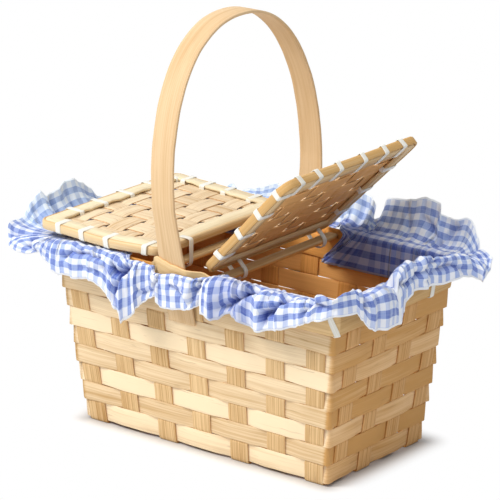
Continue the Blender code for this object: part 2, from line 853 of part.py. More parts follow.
def main():
    clear_scene()
    weaver = make_material("weaver_splint", (0.86, 0.68, 0.42), 0.55)
    stake = make_material("stake_splint", (0.74, 0.53, 0.29), 0.6)
    rim = make_material("rim_wood", (0.80, 0.60, 0.34), 0.5)
    handle = make_material("handle_wood", (0.82, 0.60, 0.35), 0.45)
    rail = make_material("lid_wood", (0.84, 0.64, 0.38), 0.5)
    tie = make_material("tie", (0.86, 0.85, 0.82), 0.4)
    cloth = make_material("cloth", (0.55, 0.66, 0.86), 0.9)
    make_cross_stakes(stake)
    make_long_stakes(stake)
    make_weavers(weaver)
    make_rim(rim)
    make_handle(handle)
    make_bar("left_hinge_bar", LEFT_BAR_X, rim)
    make_bar("right_hinge_bar", RIGHT_BAR_X, rim)
    lid_materials = {"rail": rail, "splint": weaver, "tie": tie}
    left_place = (LEFT_BAR_X, LEFT_LID_Y, LEFT_LID_V)
    right_place = (RIGHT_BAR_X, RIGHT_LID_Y, RIGHT_LID_V)
    make_lid("left", -1, left_place, LEFT_LID_OPEN_DEG, lid_materials)
    make_lid("right", 1, right_place, RIGHT_LID_OPEN_DEG, lid_materials)
    make_ruffle(cloth)


main()
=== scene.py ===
"""Looks of the pie basket: woven splints, bent rim and handle, two lids, gingham ruffle, light, camera.

Lengths are in metres, with MM for values in millimetres. Every piece is a grid of points worked out
with numpy in the basket's own frame: +X towards the open lid, +Y to the back wall, +Z up.
"""

import math

import bmesh
import bpy
import numpy as np
from mathutils import Matrix, Vector


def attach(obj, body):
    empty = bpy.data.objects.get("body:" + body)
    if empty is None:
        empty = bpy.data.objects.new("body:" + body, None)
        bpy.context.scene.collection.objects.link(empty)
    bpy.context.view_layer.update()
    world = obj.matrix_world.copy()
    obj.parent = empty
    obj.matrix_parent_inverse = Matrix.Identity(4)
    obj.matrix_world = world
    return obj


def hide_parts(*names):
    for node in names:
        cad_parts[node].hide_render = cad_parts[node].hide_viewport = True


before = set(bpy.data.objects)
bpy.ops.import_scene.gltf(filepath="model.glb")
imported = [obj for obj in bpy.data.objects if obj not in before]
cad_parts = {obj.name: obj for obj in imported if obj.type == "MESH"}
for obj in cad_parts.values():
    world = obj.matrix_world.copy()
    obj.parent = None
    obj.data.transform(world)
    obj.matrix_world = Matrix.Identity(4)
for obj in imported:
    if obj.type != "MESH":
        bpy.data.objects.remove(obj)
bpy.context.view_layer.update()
MM = 0.001
X_WAY, Y_WAY, Z_WAY = np.eye(3)
# Where each kind of piece and fold starts its random draws
SEEDS = {
    "outer_band": 11, "inner_band": 14, "handle": 21, "bar": 31, "weaver": 40, "stake_tone": 90,
    "stake": 110, "border": 200, "panel": 300, "border_tie": 420, "hinge_tie": 500, "rim_tie": 530,
    "wide_fold": 601, "gather": 602, "inner_wave": 604, "slip": 605, "gather_size": 606,
    "crumple": 611,
}  # fmt: skip
# Length of the unevenness of a strip's edges
STRIP_WAVE = 90.0 * MM
# How much farther along and across its grain each next seed starts
SEED_ALONG, SEED_ACROSS = 0.53, 0.071

# Woven wall
BASE_MID_Z = 1.35 * MM
BASE_HALF_LENGTH = 138.65 * MM
BASE_HALF_WIDTH = 71.6 * MM
SLOPE_LENGTH = 0.1216
SLOPE_WIDTH = 0.1061
ROWS = 8
ROW_PITCH = 18.2 * MM
WEAVER_HEIGHT = 16.9 * MM
WEAVER_SHOWN = 17.95 * MM
WALL_SLOPE = 0.114
FIRST_WEAVER_Z = 3.2 * MM
WALL_TOP_Z = FIRST_WEAVER_Z + (ROWS - 1) * ROW_PITCH + WEAVER_HEIGHT
WEAVER_CORNER = 2.2 * MM
BEND_RADIUS = 1.6 * MM
OVER = 0.75 * MM
STAKE_THICK = 1.15 * MM
WEAVER_THICK = 1.05 * MM
CROSS_WIDTH = 20.4 * MM
LONG_WIDTH = 19.0 * MM
CROSS_COUNT = 7
LONG_COUNT = 4
STAKE_TOP_Z = 176.0 * MM
STAKE_HOLD = 10.0 * MM
STAKE_UNEVEN, STAKE_CUP = 0.22 * MM, 0.06 * MM
# Painted shade: the long stakes show only on the end walls, which lie in shade, so they are painted darker
# and warmer by these shares
LONG_STAKE_SHADE, LONG_STAKE_WARM_SHADE = 0.3, 0.35
WEAVER_STEPS = (170, 96, 12)
WEAVER_UNEVEN, WEAVER_CUP, WEAVER_RISE = 0.25 * MM, 0.12 * MM, 0.3 * MM
# Lightness of each weaver, from the top row: the top row's low value partly holds the ruffle's shadow,
# painted in
WEAVER_TONES = (0.36, 0.55, 0.95, 0.5, 0.36, 1.0, 0.22, 0.78)
# How far a corner reaches along the way round, and between which limits a weaver is drawn to be
# pushed out there, in mm, and to stand upright, as a share of the slope
CORNER_SPREAD = 0.05
CORNER_PUSH = (-0.3, 0.9)
UPRIGHT, CORNER_UPRIGHT = 0.25, (0.4, 1.7)
# Painted shade: the end walls lie in shade, so their weavers are painted darker, and those on the right one
# warmer as well
END_SHADE, END_WARM_SHADE, END_FADE = 0.75, 0.4, 5.0 * MM

# Rim, handle and bars
BAND_BOTTOM_Z = 149.0 * MM
OUTER_BAND_TOP_Z = 177.5 * MM
INNER_BAND_TOP_Z = 169.7 * MM
BAND_GAP = 0.9 * MM
OUTER_BAND_THICK = 2.4 * MM
INNER_BAND_THICK = 2.0 * MM
BAND_CORNER = 4.4 * MM
BAND_STEPS = (150, 80, 14)
BAND_UNEVEN, BAND_CUP = 0.35 * MM, 0.15 * MM
HANDLE_X = -12.0 * MM
HANDLE_WIDTH = 25.0 * MM
HANDLE_THICK = 2.6 * MM
HANDLE_BOTTOM_Z = 126.0 * MM
HANDLE_BOTTOM_Y = 87.9 * MM
HANDLE_WIDEST_Z = 240.0 * MM
HANDLE_HALF_SPREAD = 108.7 * MM
HANDLE_TOP_Z = 393.2 * MM
HANDLE_LEG_CURVE = 1.25
HANDLE_ARCH_CURVE = 2.2
HANDLE_LEAN = 0.055
HANDLE_LEAN_Z = 165.0 * MM
HANDLE_UNEVEN, HANDLE_CUP = 0.25 * MM, 0.1 * MM
# Extra share of the handle's width, growing from the first height down to the second
HANDLE_FLARES = ((0.12, 235.0 * MM, 180.0 * MM), (0.08, 180.0 * MM, 140.0 * MM))
LOOP_LOW_OUT = 7.6 * MM
LOOP_HIGH_OUT = 10.1 * MM
LOOP_FLAT = 14.5 * MM
LOOP_END = 32.0 * MM
BAR_Z = 172.0 * MM
BAR_WIDTH = 11.0 * MM
BAR_THICK = 4.0 * MM
BAR_UNEVEN, BAR_CUP = 0.2 * MM, 0.15 * MM

# Lids, in their own frame: u from the hinge bar to the free edge, y along the bar, v up
LID_HINGE_U = -2.0 * MM
LID_FREE_U = 137.0 * MM
LID_HALF_HINGE = 92.0 * MM
LID_HALF_FREE = 99.8 * MM
LID_CORNER = 12.0 * MM
LID_THICK = 8.0 * MM
EDGE_BAND_THICK = 2.5 * MM
RAIL_WIDTH = 14.0 * MM
RAIL_THICK = 2.4 * MM
RAIL_ROUND = 0.5 * MM
RAIL_CURL = 1.3 * MM
UNDER_RAIL_GAP = 1.2 * MM
BORDER_TONE, RAIL_TONE = 0.25, 0.75
BORDER_ROUGH = 0.12 * MM
TOUCH_GAP = 0.3 * MM
SLAT_WIDTH = 17.8 * MM
SLAT_PITCH = 20.6 * MM
SLAT_START = 4.5 * MM
RUNNER_WIDTH = 20.6 * MM
RUNNER_PITCH_HINGE = 29.0 * MM
RUNNER_PITCH_FREE = 31.0 * MM
PANEL_COUNT = 6
PANEL_THICK = 1.0 * MM
PANEL_OVER = 0.6 * MM
PANEL_CLEAR = 1.9 * MM
PANEL_UNEVEN, PANEL_CUP, PANEL_SKEW = 0.4 * MM, 0.15 * MM, 0.6
PANEL_TONES = (0.35, 0.95)
# The last share of each lid, dark, is painted shade: the raised right lid's border band and rails are
# painted darker by it
LIDS = {
    "left": {"side": -1, "bar_x": -36.0 * MM, "y": -1.5 * MM, "v": 12.3 * MM, "open": 1.4, "dark": 0.0},
    "right": {"side": 1, "bar_x": 25.0 * MM, "y": 1.0 * MM, "v": 9.2 * MM, "open": 45.5, "dark": 0.5},
}
# The closed left lid sags along its front edge: how deep, where along the lid, and how wide
LID_SAG, LID_SAG_U, LID_SAG_SPREAD = 3.2 * MM, 55.0 * MM, 42.0 * MM
LID_RIPPLE = 0.25 * MM


def ramp(x, start, end):
    """A smooth step: 3t^2 - 2t^3, with t going from 0 to 1 as x goes from start to end."""
    t = np.clip((x - start) / (end - start), 0.0, 1.0)
    return t * t * (3 - 2 * t)


def within(x, limits):
    """1 between the middle two of four limits, with a smooth step to 0 at the outer two."""
    start, full, last, end = limits
    return ramp(x, start, full) * ramp(x, end, last)


def mix(a, b, t):
    """The value a share t of the way from a to b."""
    return a + (b - a) * t


def wobble(share, seed, turns):
    """Smooth unevenness from -1 to 1: four sines of whole turns over the share 0 to 1, odd phases."""
    phases = np.random.default_rng(seed).uniform(0, 2 * np.pi, 4)
    steps = (1, 2, 3, 5)
    waves = [
        np.sin(2 * np.pi * share * turns * step + phase) / (0.6 + 0.4 * step)
        for step, phase in zip(steps, phases)
    ]
    return sum(waves) / 2.0


def eased(x, places, values):
    """Value at x, going from each place's value to the next with a smooth step."""
    k = np.clip(np.searchsorted(places, x, side="right") - 1, 0, len(places) - 2)
    gap = np.maximum(places[k + 1] - places[k], 1e-9)
    t = np.clip((x - places[k]) / gap, 0.0, 1.0)
    return mix(values[k], values[k + 1], t * t * (3 - 2 * t))


def run_length(points, wrap=False):
    """Distance along a line of points from its first, with the way back to the start if wrap."""
    line = np.vstack([points, points[:1]]) if wrap else points
    return np.concatenate([[0.0], np.cumsum(np.linalg.norm(np.diff(line, axis=0), axis=1))])


def surface(name, points, along, across, material, wrap_rows=False, wrap_cols=False, marks=()):
    """A grid of points joined to its neighbours, with (along, across) in metres as its UV map.

    A grid that closes only across its columns is a tube and gets a flat face at each end.
    """
    rows, cols = points.shape[:2]
    i, k = np.meshgrid(
        np.arange(rows if wrap_rows else rows - 1),
        np.arange(cols if wrap_cols else cols - 1),
        indexing="ij",
    )
    ring = ((i, k), (i, k + 1), (i + 1, k + 1), (i + 1, k))
    quads = np.stack([(a % rows) * cols + b % cols for a, b in ring], axis=-1).reshape(-1, 4)
    uvs = np.stack([np.stack([along[a, b], across[a, b]], -1) for a, b in ring], axis=2)
    uvs = uvs.reshape(-1, 2)
    faces = quads.tolist()
    tube = wrap_cols and not wrap_rows
    if tube:
        faces.append(list(range(cols - 1, -1, -1)))
        faces.append(list(range((rows - 1) * cols, rows * cols)))
        caps = [[along[r, c], across[r, c]] for r in (0, rows - 1) for c in range(cols)]
        uvs = np.vstack([uvs, caps])
    mesh = bpy.data.meshes.new(name)
    mesh.from_pydata(points.reshape(-1, 3).tolist(), [], faces)
    layer = mesh.uv_layers.new(name="UVMap")
    layer.data.foreach_set("uv", uvs.astype(np.float32).ravel())
    smooth = np.ones(len(faces), dtype=bool)
    if tube:
        smooth[-2:] = False
    mesh.polygons.foreach_set("use_smooth", smooth)
    for mark, values in marks:
        store = mesh.attributes.new(mark, "FLOAT", "POINT")
        flat = np.broadcast_to(values, (rows, cols)).astype(np.float32).ravel()
        store.data.foreach_set("value", flat)
    if wrap_cols:
        work = bmesh.new()
        work.from_mesh(mesh)
        bmesh.ops.recalc_face_normals(work, faces=work.faces)
        work.to_mesh(mesh)
        work.free()
    mesh.materials.append(material)
    mesh.update()
    return new_object(name, mesh)


def new_object(name, data):
    """An object for a mesh, a lamp or a camera, in the scene."""
    obj = bpy.data.objects.new(name, data)
    bpy.context.scene.collection.objects.link(obj)
    return obj


def stand_for(obj, body, slot, *nodes):
    """Lets a piece move with its body and take the place of its plain solids."""
    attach(obj, body)
    if nodes:
        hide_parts(*nodes)


# Outline of a flat strip's section, in shares of its width and of its thickness
SECTION = np.array(
    [
        (-0.5, -0.15), (-0.5, 0.15), (-0.492, 0.4), (-0.475, 0.5), (-0.25, 0.5), (0.0, 0.5),
        (0.25, 0.5), (0.475, 0.5), (0.492, 0.4), (0.5, 0.15), (0.5, -0.15), (0.492, -0.4),
        (0.475, -0.5), (0.25, -0.5), (0.0, -0.5), (-0.25, -0.5), (-0.475, -0.5), (-0.492, -0.4),
    ]
)  # fmt: skip


def section_grid(share, width, thick, seed, turns, uneven, cup):
    """Places across and through a strip: SECTION times its sizes, its edges uneven, its middle cupped."""
    a = SECTION[None, :, 0]
    b = SECTION[None, :, 1]
    low = width / 2 + uneven * wobble(share, seed, turns)
    high = width / 2 + uneven * wobble(share, seed + 1, turns)
    place = 2 * a * np.where(a < 0, low[:, None], high[:, None])
    lift = b * thick + cup * (1 - (2 * a) ** 2)
    return place, lift


def uv_grid(length, around, seed):
    """Metres along and across a grid, started at a different place for each seed."""
    along = np.repeat(length[:, None] + SEED_ALONG * seed, len(around), axis=1)
    across = np.repeat(around[None, :] + SEED_ACROSS * seed, len(length), axis=0)
    return along, across


def strip_uv(length, width, thick, seed):
    """Metres along a strip and round its section."""
    return uv_grid(length, run_length(SECTION * (width, thick), True), seed)


def wood_marks(tone_and_shade, warm_shade):
    """Marks that the wood reads: its lightness, with painted shade in it on shaded pieces, and a painted
    orange-brown shade, full on the inner face, which lies in shade.
    """
    return [("tone_and_shade", tone_and_shade), ("inside", np.maximum(SECTION[None, :, 1] < 0, warm_shade))]


def splint(name, middle, out, side, size, material, seed, tone_and_shade, uneven=0.3 * MM, cup=0.0, wrap=False,
           move=None, flare=1.0, warm_shade=0.0):
    """A flat strip: middle line + side x place across the width + out x place through the thickness.

    out and side are one direction for the whole strip, or one for each point of its middle line.
    """
    width, thick = size
    length = run_length(middle, wrap)
    share = length[: len(middle)] / length[-1]
    turns = max(1, round(length[-1] / STRIP_WAVE))
    place, lift = section_grid(share, width, thick, seed, turns, uneven, cup)
    place = place * np.reshape(flare, (-1, 1))
    out, side = (np.broadcast_to(way, middle.shape)[:, None] for way in (out, side))
    points = middle[:, None] + side * place[..., None] + out * lift[..., None]
    if move is not None:
        points = move(points)
    along, across = strip_uv(length, width, thick, seed)
    return surface(name, points, along, across, material, wrap, True, wood_marks(tone_and_shade, warm_shade))


def half_length(z):
    """Half the wall's length at a height, on its middle surface."""
    return BASE_HALF_LENGTH + SLOPE_LENGTH * (z - BASE_MID_Z)


def half_width(z):
    """Half the wall's width at a height, on its middle surface."""
    return BASE_HALF_WIDTH + SLOPE_WIDTH * (z - BASE_MID_Z)


def height_share(z):
    """0 at the base and 1 at the top of the woven wall."""
    return (z - BASE_MID_Z) / (WALL_TOP_Z - BASE_MID_Z)


def cross_stake_x(i, z):
    """Place of a cross stake's middle at a height. The stakes spread upwards."""
    return (i - (CROSS_COUNT - 1) / 2) * mix(41.67 * MM, 45.9 * MM, height_share(z))


def long_stake_y(j, z):
    """Place of a long stake's middle at a height. The stakes spread upwards."""
    share = height_share(z)
    pitch = mix(38.2 * MM, 42.5 * MM, share)
    return mix(1.3 * MM, 6.0 * MM, share) + (j - (LONG_COUNT - 1) / 2) * pitch


def row_limits(row):
    """Bottom and top of a weaver's row, counted from the top row."""
    low = FIRST_WEAVER_Z + (ROWS - 1 - row) * ROW_PITCH
    return low, low + WEAVER_HEIGHT


def stake_side(place, row):
    """+1 where the stake at this place round the basket passes outside the weaver, else -1."""
    return 1 if (place + row) % 2 == 1 else -1


# The way round the wall: the whole number is the wall, and the rest of it runs along that wall and
# its last share round the corner after it
CORNER_SHARE = 0.06


def ring_frame(t):
    """Wall number, share along its straight part, and angle turned round its corner."""
    wall = np.floor(t).astype(int) % 4
    rest = t - np.floor(t)
    straight = np.clip(rest / (1 - CORNER_SHARE), 0.0, 1.0)
    turn = np.clip((rest - 1 + CORNER_SHARE) / CORNER_SHARE, 0.0, 1.0) * np.pi / 2
    return wall, straight, turn


def ring_point(t, z, out, radius):
    """A point on the tapered round-cornered wall at t, height z and offset out from its surface."""
    t, z, out = np.broadcast_arrays(t, z, out)
    wall, straight, turn = ring_frame(t)
    even = wall % 2 == 0
    half_along = np.where(even, half_length(z), half_width(z)) - radius
    half_across = np.where(even, half_width(z), half_length(z)) - radius
    forward = (2 * straight - 1) * half_along + (radius + out) * np.sin(turn)
    outward = half_across + (radius + out) * np.cos(turn)
    angle = wall * np.pi / 2
    x = forward * np.cos(angle) + outward * np.sin(angle)
    y = forward * np.sin(angle) - outward * np.cos(angle)
    return np.stack([x, y, z], axis=-1)


def ring_places(long_count, short_count, corner_count):
    """Even steps along each wall and round each corner, from 0 up to 4."""
    parts = []
    for wall in range(4):
        count = long_count if wall % 2 == 0 else short_count
        parts.append(wall + (1 - CORNER_SHARE) * np.arange(count) / count)
        parts.append(wall + 1 - CORNER_SHARE * (1 - np.arange(corner_count) / corner_count))
    return np.concatenate(parts)


def ring_place(wall, place, z, radius):
    """The t of a place in metres along a wall."""
    half = (half_length(z) if wall % 2 == 0 else half_width(z)) - radius
    return wall + (1 - CORNER_SHARE) * (place / half + 1) / 2


def wall_stakes(wall, z):
    """Places of the stakes along a wall, in the direction that t runs."""
    if wall % 2 == 0:
        places = [cross_stake_x(i, z) for i in range(CROSS_COUNT)]
    else:
        places = [long_stake_y(j, z) for j in range(LONG_COUNT)]
    return places if wall < 2 else [-p for p in reversed(places)]


def weaver_path(row):
    """Places round the ring and the weaver's offset there: out over one stake, in behind the next."""
    low, high = row_limits(row)
    z = (low + high) / 2
    places = []
    values = []
    number = 0
    for wall in range(4):
        reach = (CROSS_WIDTH if wall % 2 == 0 else LONG_WIDTH) / 2 + 0.6 * MM
        for stake in wall_stakes(wall, z):
            offset = -stake_side(number, row) * OVER
            for edge in (-reach, reach):
                places.append(ring_place(wall, stake + edge, z, WEAVER_CORNER))
                values.append(offset)
            number += 1
    places = np.array([places[-1] - 4] + places + [places[0] + 4])
    values = np.array([values[-1]] + values + [values[0]])
    return places, values


def make_weaver(row, material):
    """A weaver: its section carried round the wall, in and out of the stakes.

    Beside the corners, where no stake holds it, it stands upright instead of following the slope.
    """
    low, high = row_limits(row)
    level = (low + high) / 2
    seed = SEEDS["weaver"] + 7 * row
    t = ring_places(*WEAVER_STEPS)
    offset = eased(t, *weaver_path(row))
    middle = ring_point(t, level, offset, WEAVER_CORNER)
    length = run_length(middle, True)
    share = length[:-1] / length[-1]
    place, lift = section_grid(share, WEAVER_SHOWN, WEAVER_THICK, seed, 9, WEAVER_UNEVEN, WEAVER_CUP)
    corner = np.round(t + CORNER_SHARE / 2).astype(int)
    near_corner = np.exp(-(((t + CORNER_SHARE / 2 - corner) / CORNER_SPREAD) ** 2))
    drawn = np.random.default_rng(seed)
    push = near_corner * drawn.uniform(*CORNER_PUSH, 5)[corner] * MM
    upright = UPRIGHT + near_corner * drawn.uniform(*CORNER_UPRIGHT, 5)[corner]
    rise = WEAVER_RISE * wobble(share, seed + 5, 3)
    z = level + place + rise[:, None]
    out = offset[:, None] + lift + push[:, None] - (upright * WALL_SLOPE)[:, None] * place
    points = ring_point(t[:, None], z, out, WEAVER_CORNER)
    along, across = strip_uv(length, WEAVER_SHOWN, WEAVER_THICK, seed)
    # Painted shade on the end walls: darker there, and warmer on the right one
    on_end = ramp(np.abs(middle[:, 0]) - half_length(level), -END_FADE, 0.0)
    tone_and_shade = WEAVER_TONES[row] - END_SHADE * on_end
    warm_shade = END_WARM_SHADE * on_end * (middle[:, 0] > 0)
    marks = wood_marks(tone_and_shade[:, None], warm_shade[:, None])
    obj = surface(f"woven_row_{row + 1}", points, along, across, material, True, True, marks)
    stand_for(obj, "basket", "weaver_splint", f"weaver_{row + 1}")


def stake_wall(place_number):
    """Heights up the wall and a stake's offset at each, flat beside every weaver."""
    heights = []
    offsets = []
    for row in range(ROWS - 1, -1, -1):
        low, high = row_limits(row)
        heights += [low + 1.2 * MM, high - 1.2 * MM]
        offsets += [stake_side(place_number, row) * OVER] * 2
    heights += [BAND_BOTTOM_Z, STAKE_TOP_Z]
    offsets += [0.0, 0.0]
    return np.array(heights), np.array(offsets)


def stake_line(near_number, far_number, half_span, crossings, crossing_width, first_under):
    """Middle line of a stake down one wall, under the base and up the other wall.

    Returns four arrays: along, z, and the outward direction's parts along and up at each point.
    """
    half = half_span(BASE_MID_Z)
    foot_z = BASE_MID_Z + BEND_RADIUS
    heights = np.linspace(foot_z, STAKE_TOP_Z, 150)
    angles = np.radians(np.linspace(0, 90, 10))[1:-1]
    edges, drops = [], []
    for k, place in enumerate(crossings):
        under = first_under if k % 2 == 0 else not first_under
        reach = crossing_width / 2 + (STAKE_HOLD if under else 0.3 * MM)
        before = crossing_width / 2 if k == 0 else reach
        after = crossing_width / 2 if k == len(crossings) - 1 else reach
        edges += [place - before, place + after]
        drops += [OVER if under else -OVER] * 2
    flat = np.linspace(-(half - BEND_RADIUS), half - BEND_RADIUS, 190)
    flat_drop = eased(flat, np.array(edges), np.array(drops))
    parts = []
    for number, sign, end_drop in ((near_number, -1, flat_drop[0]), (far_number, 1, flat_drop[-1])):
        offset = eased(heights, *stake_wall(number))
        level = np.zeros_like(heights)
        wall = np.array([sign * (half_span(heights) + offset), heights, level + sign, level])
        cos, sin = np.cos(angles), np.sin(angles)
        reach = BEND_RADIUS + mix(offset[0], end_drop, np.degrees(angles) / 90)
        bend = [sign * (half - BEND_RADIUS + reach * cos), foot_z - reach * sin, sign * cos, -sin]
        parts.append(np.hstack([wall[:, ::-1], bend]))
    base = np.array([flat, BASE_MID_Z - flat_drop, np.zeros_like(flat), -np.ones_like(flat)])
    return np.hstack([parts[0], base, parts[1][:, ::-1]])


def make_stakes(material):
    """Seven stakes across the basket and four along it, each one strip from rim to rim.

    The stakes' numbers run round the wall, so each strip has one at its near and one at its far end.
    """
    cross_places = [long_stake_y(j, BASE_MID_Z) for j in range(LONG_COUNT)]
    long_places = [cross_stake_x(i, BASE_MID_Z) for i in range(CROSS_COUNT)]
    for number in range(CROSS_COUNT + LONG_COUNT):
        if number < CROSS_COUNT:
            k, kind, place_at, width = number, "cross_stake", cross_stake_x, CROSS_WIDTH
            run_way, side_way, darker, warm_shade = Y_WAY, X_WAY, 0.0, 0.0
            far = 2 * CROSS_COUNT + LONG_COUNT - 1 - k
            line = stake_line(k, far, half_width, cross_places, LONG_WIDTH, k % 2 == 0)
        else:
            k, kind, place_at, width = number - CROSS_COUNT, "long_stake", long_stake_y, LONG_WIDTH
            run_way, side_way, darker, warm_shade = X_WAY, Y_WAY, LONG_STAKE_SHADE, LONG_STAKE_WARM_SHADE
            near = 2 * (CROSS_COUNT + LONG_COUNT) - 1 - k
            line = stake_line(near, number, half_length, long_places, CROSS_WIDTH, k % 2 == 1)
        along, z, out_along, out_z = line
        place = place_at(k, np.maximum(z, BASE_MID_Z))
        middle = np.outer(along, run_way) + np.outer(place, side_way) + np.outer(z, Z_WAY)
        out = np.outer(out_along, run_way) + np.outer(out_z, Z_WAY)
        # Painted shade: the long stakes are painted darker, as they show only on the shaded end walls
        tone_and_shade = 0.35 + 0.3 * np.random.default_rng(SEEDS["stake_tone"] + number).random() - darker
        node = f"{kind}_{k + 1}"
        obj = splint(f"{node}_strip", middle, out, side_way, (width, STAKE_THICK), material,
                     SEEDS["stake"] + 3 * number, tone_and_shade, STAKE_UNEVEN, STAKE_CUP, warm_shade=warm_shade)
        stand_for(obj, "basket", "stake_splint", node)


def loop_bulge(x, z):
    """How far the outer rim band bows out to pass round a handle leg."""
    share = (z - BAND_BOTTOM_Z) / (OUTER_BAND_TOP_Z - BAND_BOTTOM_Z)
    most = mix(LOOP_LOW_OUT, LOOP_HIGH_OUT, share) - BAND_GAP
    return most * (1 - ramp(np.abs(x - HANDLE_X), LOOP_FLAT, LOOP_END))


# Extra height of the band's top edge where its loop passes the front leg, by x, in mm
BAND_LIFTS = np.array(
    [(-44, 0), (-40, 2), (-34, 9), (-28, 11.5), (-21, 9), (-12, 6), (4, 4), (14, 3), (24, 0)]
) * MM  # fmt: skip
# Painted shade: left of the loop, between these places in x, the front of the band lies in the cloth's
# shadow and is painted darker and warmer
BAND_SHADE = (-90.0 * MM, -80.0 * MM, -46.0 * MM, -38.0 * MM)
# The band's lightness, and how much darker its end walls and that shaded stretch are painted
BAND_TONE, BAND_PAINTED_SHADE = 0.5, 0.5


def make_band(name, node, low, high, offset, thick, bows, material, seed):
    """A rim band: a flat strip on edge carried round the top of the wall."""
    t = ring_places(*BAND_STEPS)
    wall = np.floor(t).astype(int)
    height, level = high - low, (low + high) / 2
    middle = ring_point(t, level, offset, BAND_CORNER)
    length = run_length(middle, True)
    share = length[:-1] / length[-1]
    place, lift = section_grid(share, height, thick, seed, 7, BAND_UNEVEN, BAND_CUP)
    z = level + place
    out = offset + lift
    if bows:
        x = ring_point(t[:, None], z, out, BAND_CORNER)[..., 0]
        out = out + np.where(wall[:, None] % 2 == 0, loop_bulge(x, z), 0.0)
        rise = eased(x, BAND_LIFTS[:, 0], BAND_LIFTS[:, 1])
        z = z + np.where(wall[:, None] == 0, rise * (z - low) / height, 0.0)
    points = ring_point(t[:, None], z, out, BAND_CORNER)
    along, across = strip_uv(length, height, thick, seed)
    # Painted shade: the end walls and the stretch in the cloth's shadow are painted darker, and that
    # stretch warmer too
    in_cloth_shadow = (wall == 0) * within(middle[:, 0], BAND_SHADE)
    tone_and_shade = BAND_TONE - BAND_PAINTED_SHADE * (wall % 2 + in_cloth_shadow)
    marks = wood_marks(tone_and_shade[:, None], in_cloth_shadow[:, None])
    obj = surface(name, points, along, across, material, True, True, marks)
    stand_for(obj, "basket", "rim_wood", node)


def handle_line(count):
    """Middle line of the handle as (y, z): straight-ish legs, then a superellipse arch."""
    z = np.linspace(HANDLE_BOTTOM_Z, HANDLE_WIDEST_Z, 60)[:-1]
    share = (HANDLE_WIDEST_Z - z) / (HANDLE_WIDEST_Z - HANDLE_BOTTOM_Z)
    leg_y = mix(HANDLE_HALF_SPREAD, HANDLE_BOTTOM_Y, share**HANDLE_LEG_CURVE)
    angle = np.linspace(0, np.pi / 2, 160)
    power = 2 / HANDLE_ARCH_CURVE
    arch_y = HANDLE_HALF_SPREAD * np.clip(np.cos(angle), 0, 1) ** power
    arch_z = mix(HANDLE_WIDEST_Z, HANDLE_TOP_Z, np.sin(angle) ** power)
    half = np.vstack([np.column_stack([leg_y, z]), np.column_stack([arch_y, arch_z])])
    line = np.vstack([half, (half * (-1, 1))[-2::-1]])
    steps = run_length(line)
    even = np.linspace(0, steps[-1], count)
    return np.stack([np.interp(even, steps, line[:, k]) for k in (0, 1)], axis=1)


def line_tangent(line):
    """Unit directions along a line of points."""
    tangent = np.gradient(line, axis=0)
    return tangent / np.linalg.norm(tangent, axis=1, keepdims=True)


def make_handle(material):
    """The handle: one bent strip, its section square to its middle line, leaning a little in x."""
    y, z = handle_line(300).T
    forward, up = line_tangent(np.column_stack([y, z])).T
    x = HANDLE_X - HANDLE_LEAN * np.maximum(z - HANDLE_LEAN_Z, 0.0)
    out = np.column_stack([np.zeros_like(y), up, -forward])
    flare = 1 + sum(extra * ramp(z, top, low) for extra, top, low in HANDLE_FLARES)
    obj = splint("bent_handle", np.column_stack([x, y, z]), out, X_WAY, (HANDLE_WIDTH, HANDLE_THICK),
                 material, SEEDS["handle"], 0.5, HANDLE_UNEVEN, HANDLE_CUP, flare=flare)
    stand_for(obj, "basket", "handle_wood", "handle")


def make_bars(material):
    """The two hinge bars: straight flat strips from wall to wall."""
    reach = half_width(BAR_Z) - STAKE_THICK / 2 - TOUCH_GAP
    y = np.linspace(-reach, reach, 60)
    for number, (word, lid) in enumerate(LIDS.items()):
        middle = np.column_stack([np.full_like(y, lid["bar_x"]), y, np.full_like(y, BAR_Z)])
        obj = splint(f"{word}_cross_bar", middle, Z_WAY, X_WAY, (BAR_WIDTH, BAR_THICK), material,
                     SEEDS["bar"] + number, 0.45, BAR_UNEVEN, BAR_CUP)
        stand_for(obj, "basket", "rim_wood", f"{word}_hinge_bar")


def lid_share(u):
    """0 at the lid's hinge edge and 1 at its free edge."""
    return (u - LID_HINGE_U) / (LID_FREE_U - LID_HINGE_U)


def lid_outline(inset):
    """The lid's round-cornered outline as (u, y), moved in by inset: arcs joined by straight runs."""
    radius = max(LID_CORNER - inset, 1.0 * MM)
    low, high = LID_HINGE_U + inset + radius, LID_FREE_U - inset - radius
    corners = (
        (low, -(LID_HALF_HINGE - inset - radius), 180),
        (high, -(LID_HALF_FREE - inset - radius), 270),
        (high, LID_HALF_FREE - inset - radius, 0),
        (low, LID_HALF_HINGE - inset - radius, 90),
    )
    arcs = []
    for centre_u, centre_y, start in corners:
        turn = np.radians(start + np.linspace(0, 90, 10))
        arc = [centre_u + radius * np.cos(turn), centre_y + radius * np.sin(turn)]
        arcs.append(np.column_stack(arc))
    parts = []
    for k, arc in enumerate(arcs):
        following = arcs[(k + 1) % 4]
        steps = np.linspace(0, 1, 34)[1:-1, None]
        parts += [arc, mix(arc[-1:], following[:1], steps)]
    return np.vstack(parts)


def lid_warp(word, u, y):
    """Small unevenness of a lid, in metres up: the closed lid sags along its front edge."""
    lift = LID_RIPPLE * np.sin(70 * y + 1.0) * np.sin(45 * u)
    if word == "left":
        sag = np.exp(-(((u - LID_SAG_U) / LID_SAG_SPREAD) ** 2)) * ramp(-y, 0.0, 100.0 * MM)
        lift = lift - LID_SAG * sag
    return lift


def lid_mover(word):
    """Takes points (u, y, v) of a lid to the basket's frame: warped, turned about its bar, shifted."""
    lid = LIDS[word]
    angle = math.radians(lid["open"])
    cos, sin, side = math.cos(angle), math.sin(angle), lid["side"]

    def move(points):
        u, y = points[..., 0], points[..., 1]
        v = points[..., 2] + lid_warp(word, u, y)
        x = side * (u * cos - v * sin)
        z = u * sin + v * cos
        return np.stack([lid["bar_x"] + x, lid["y"] + y, BAR_Z + z], axis=-1)

    return move


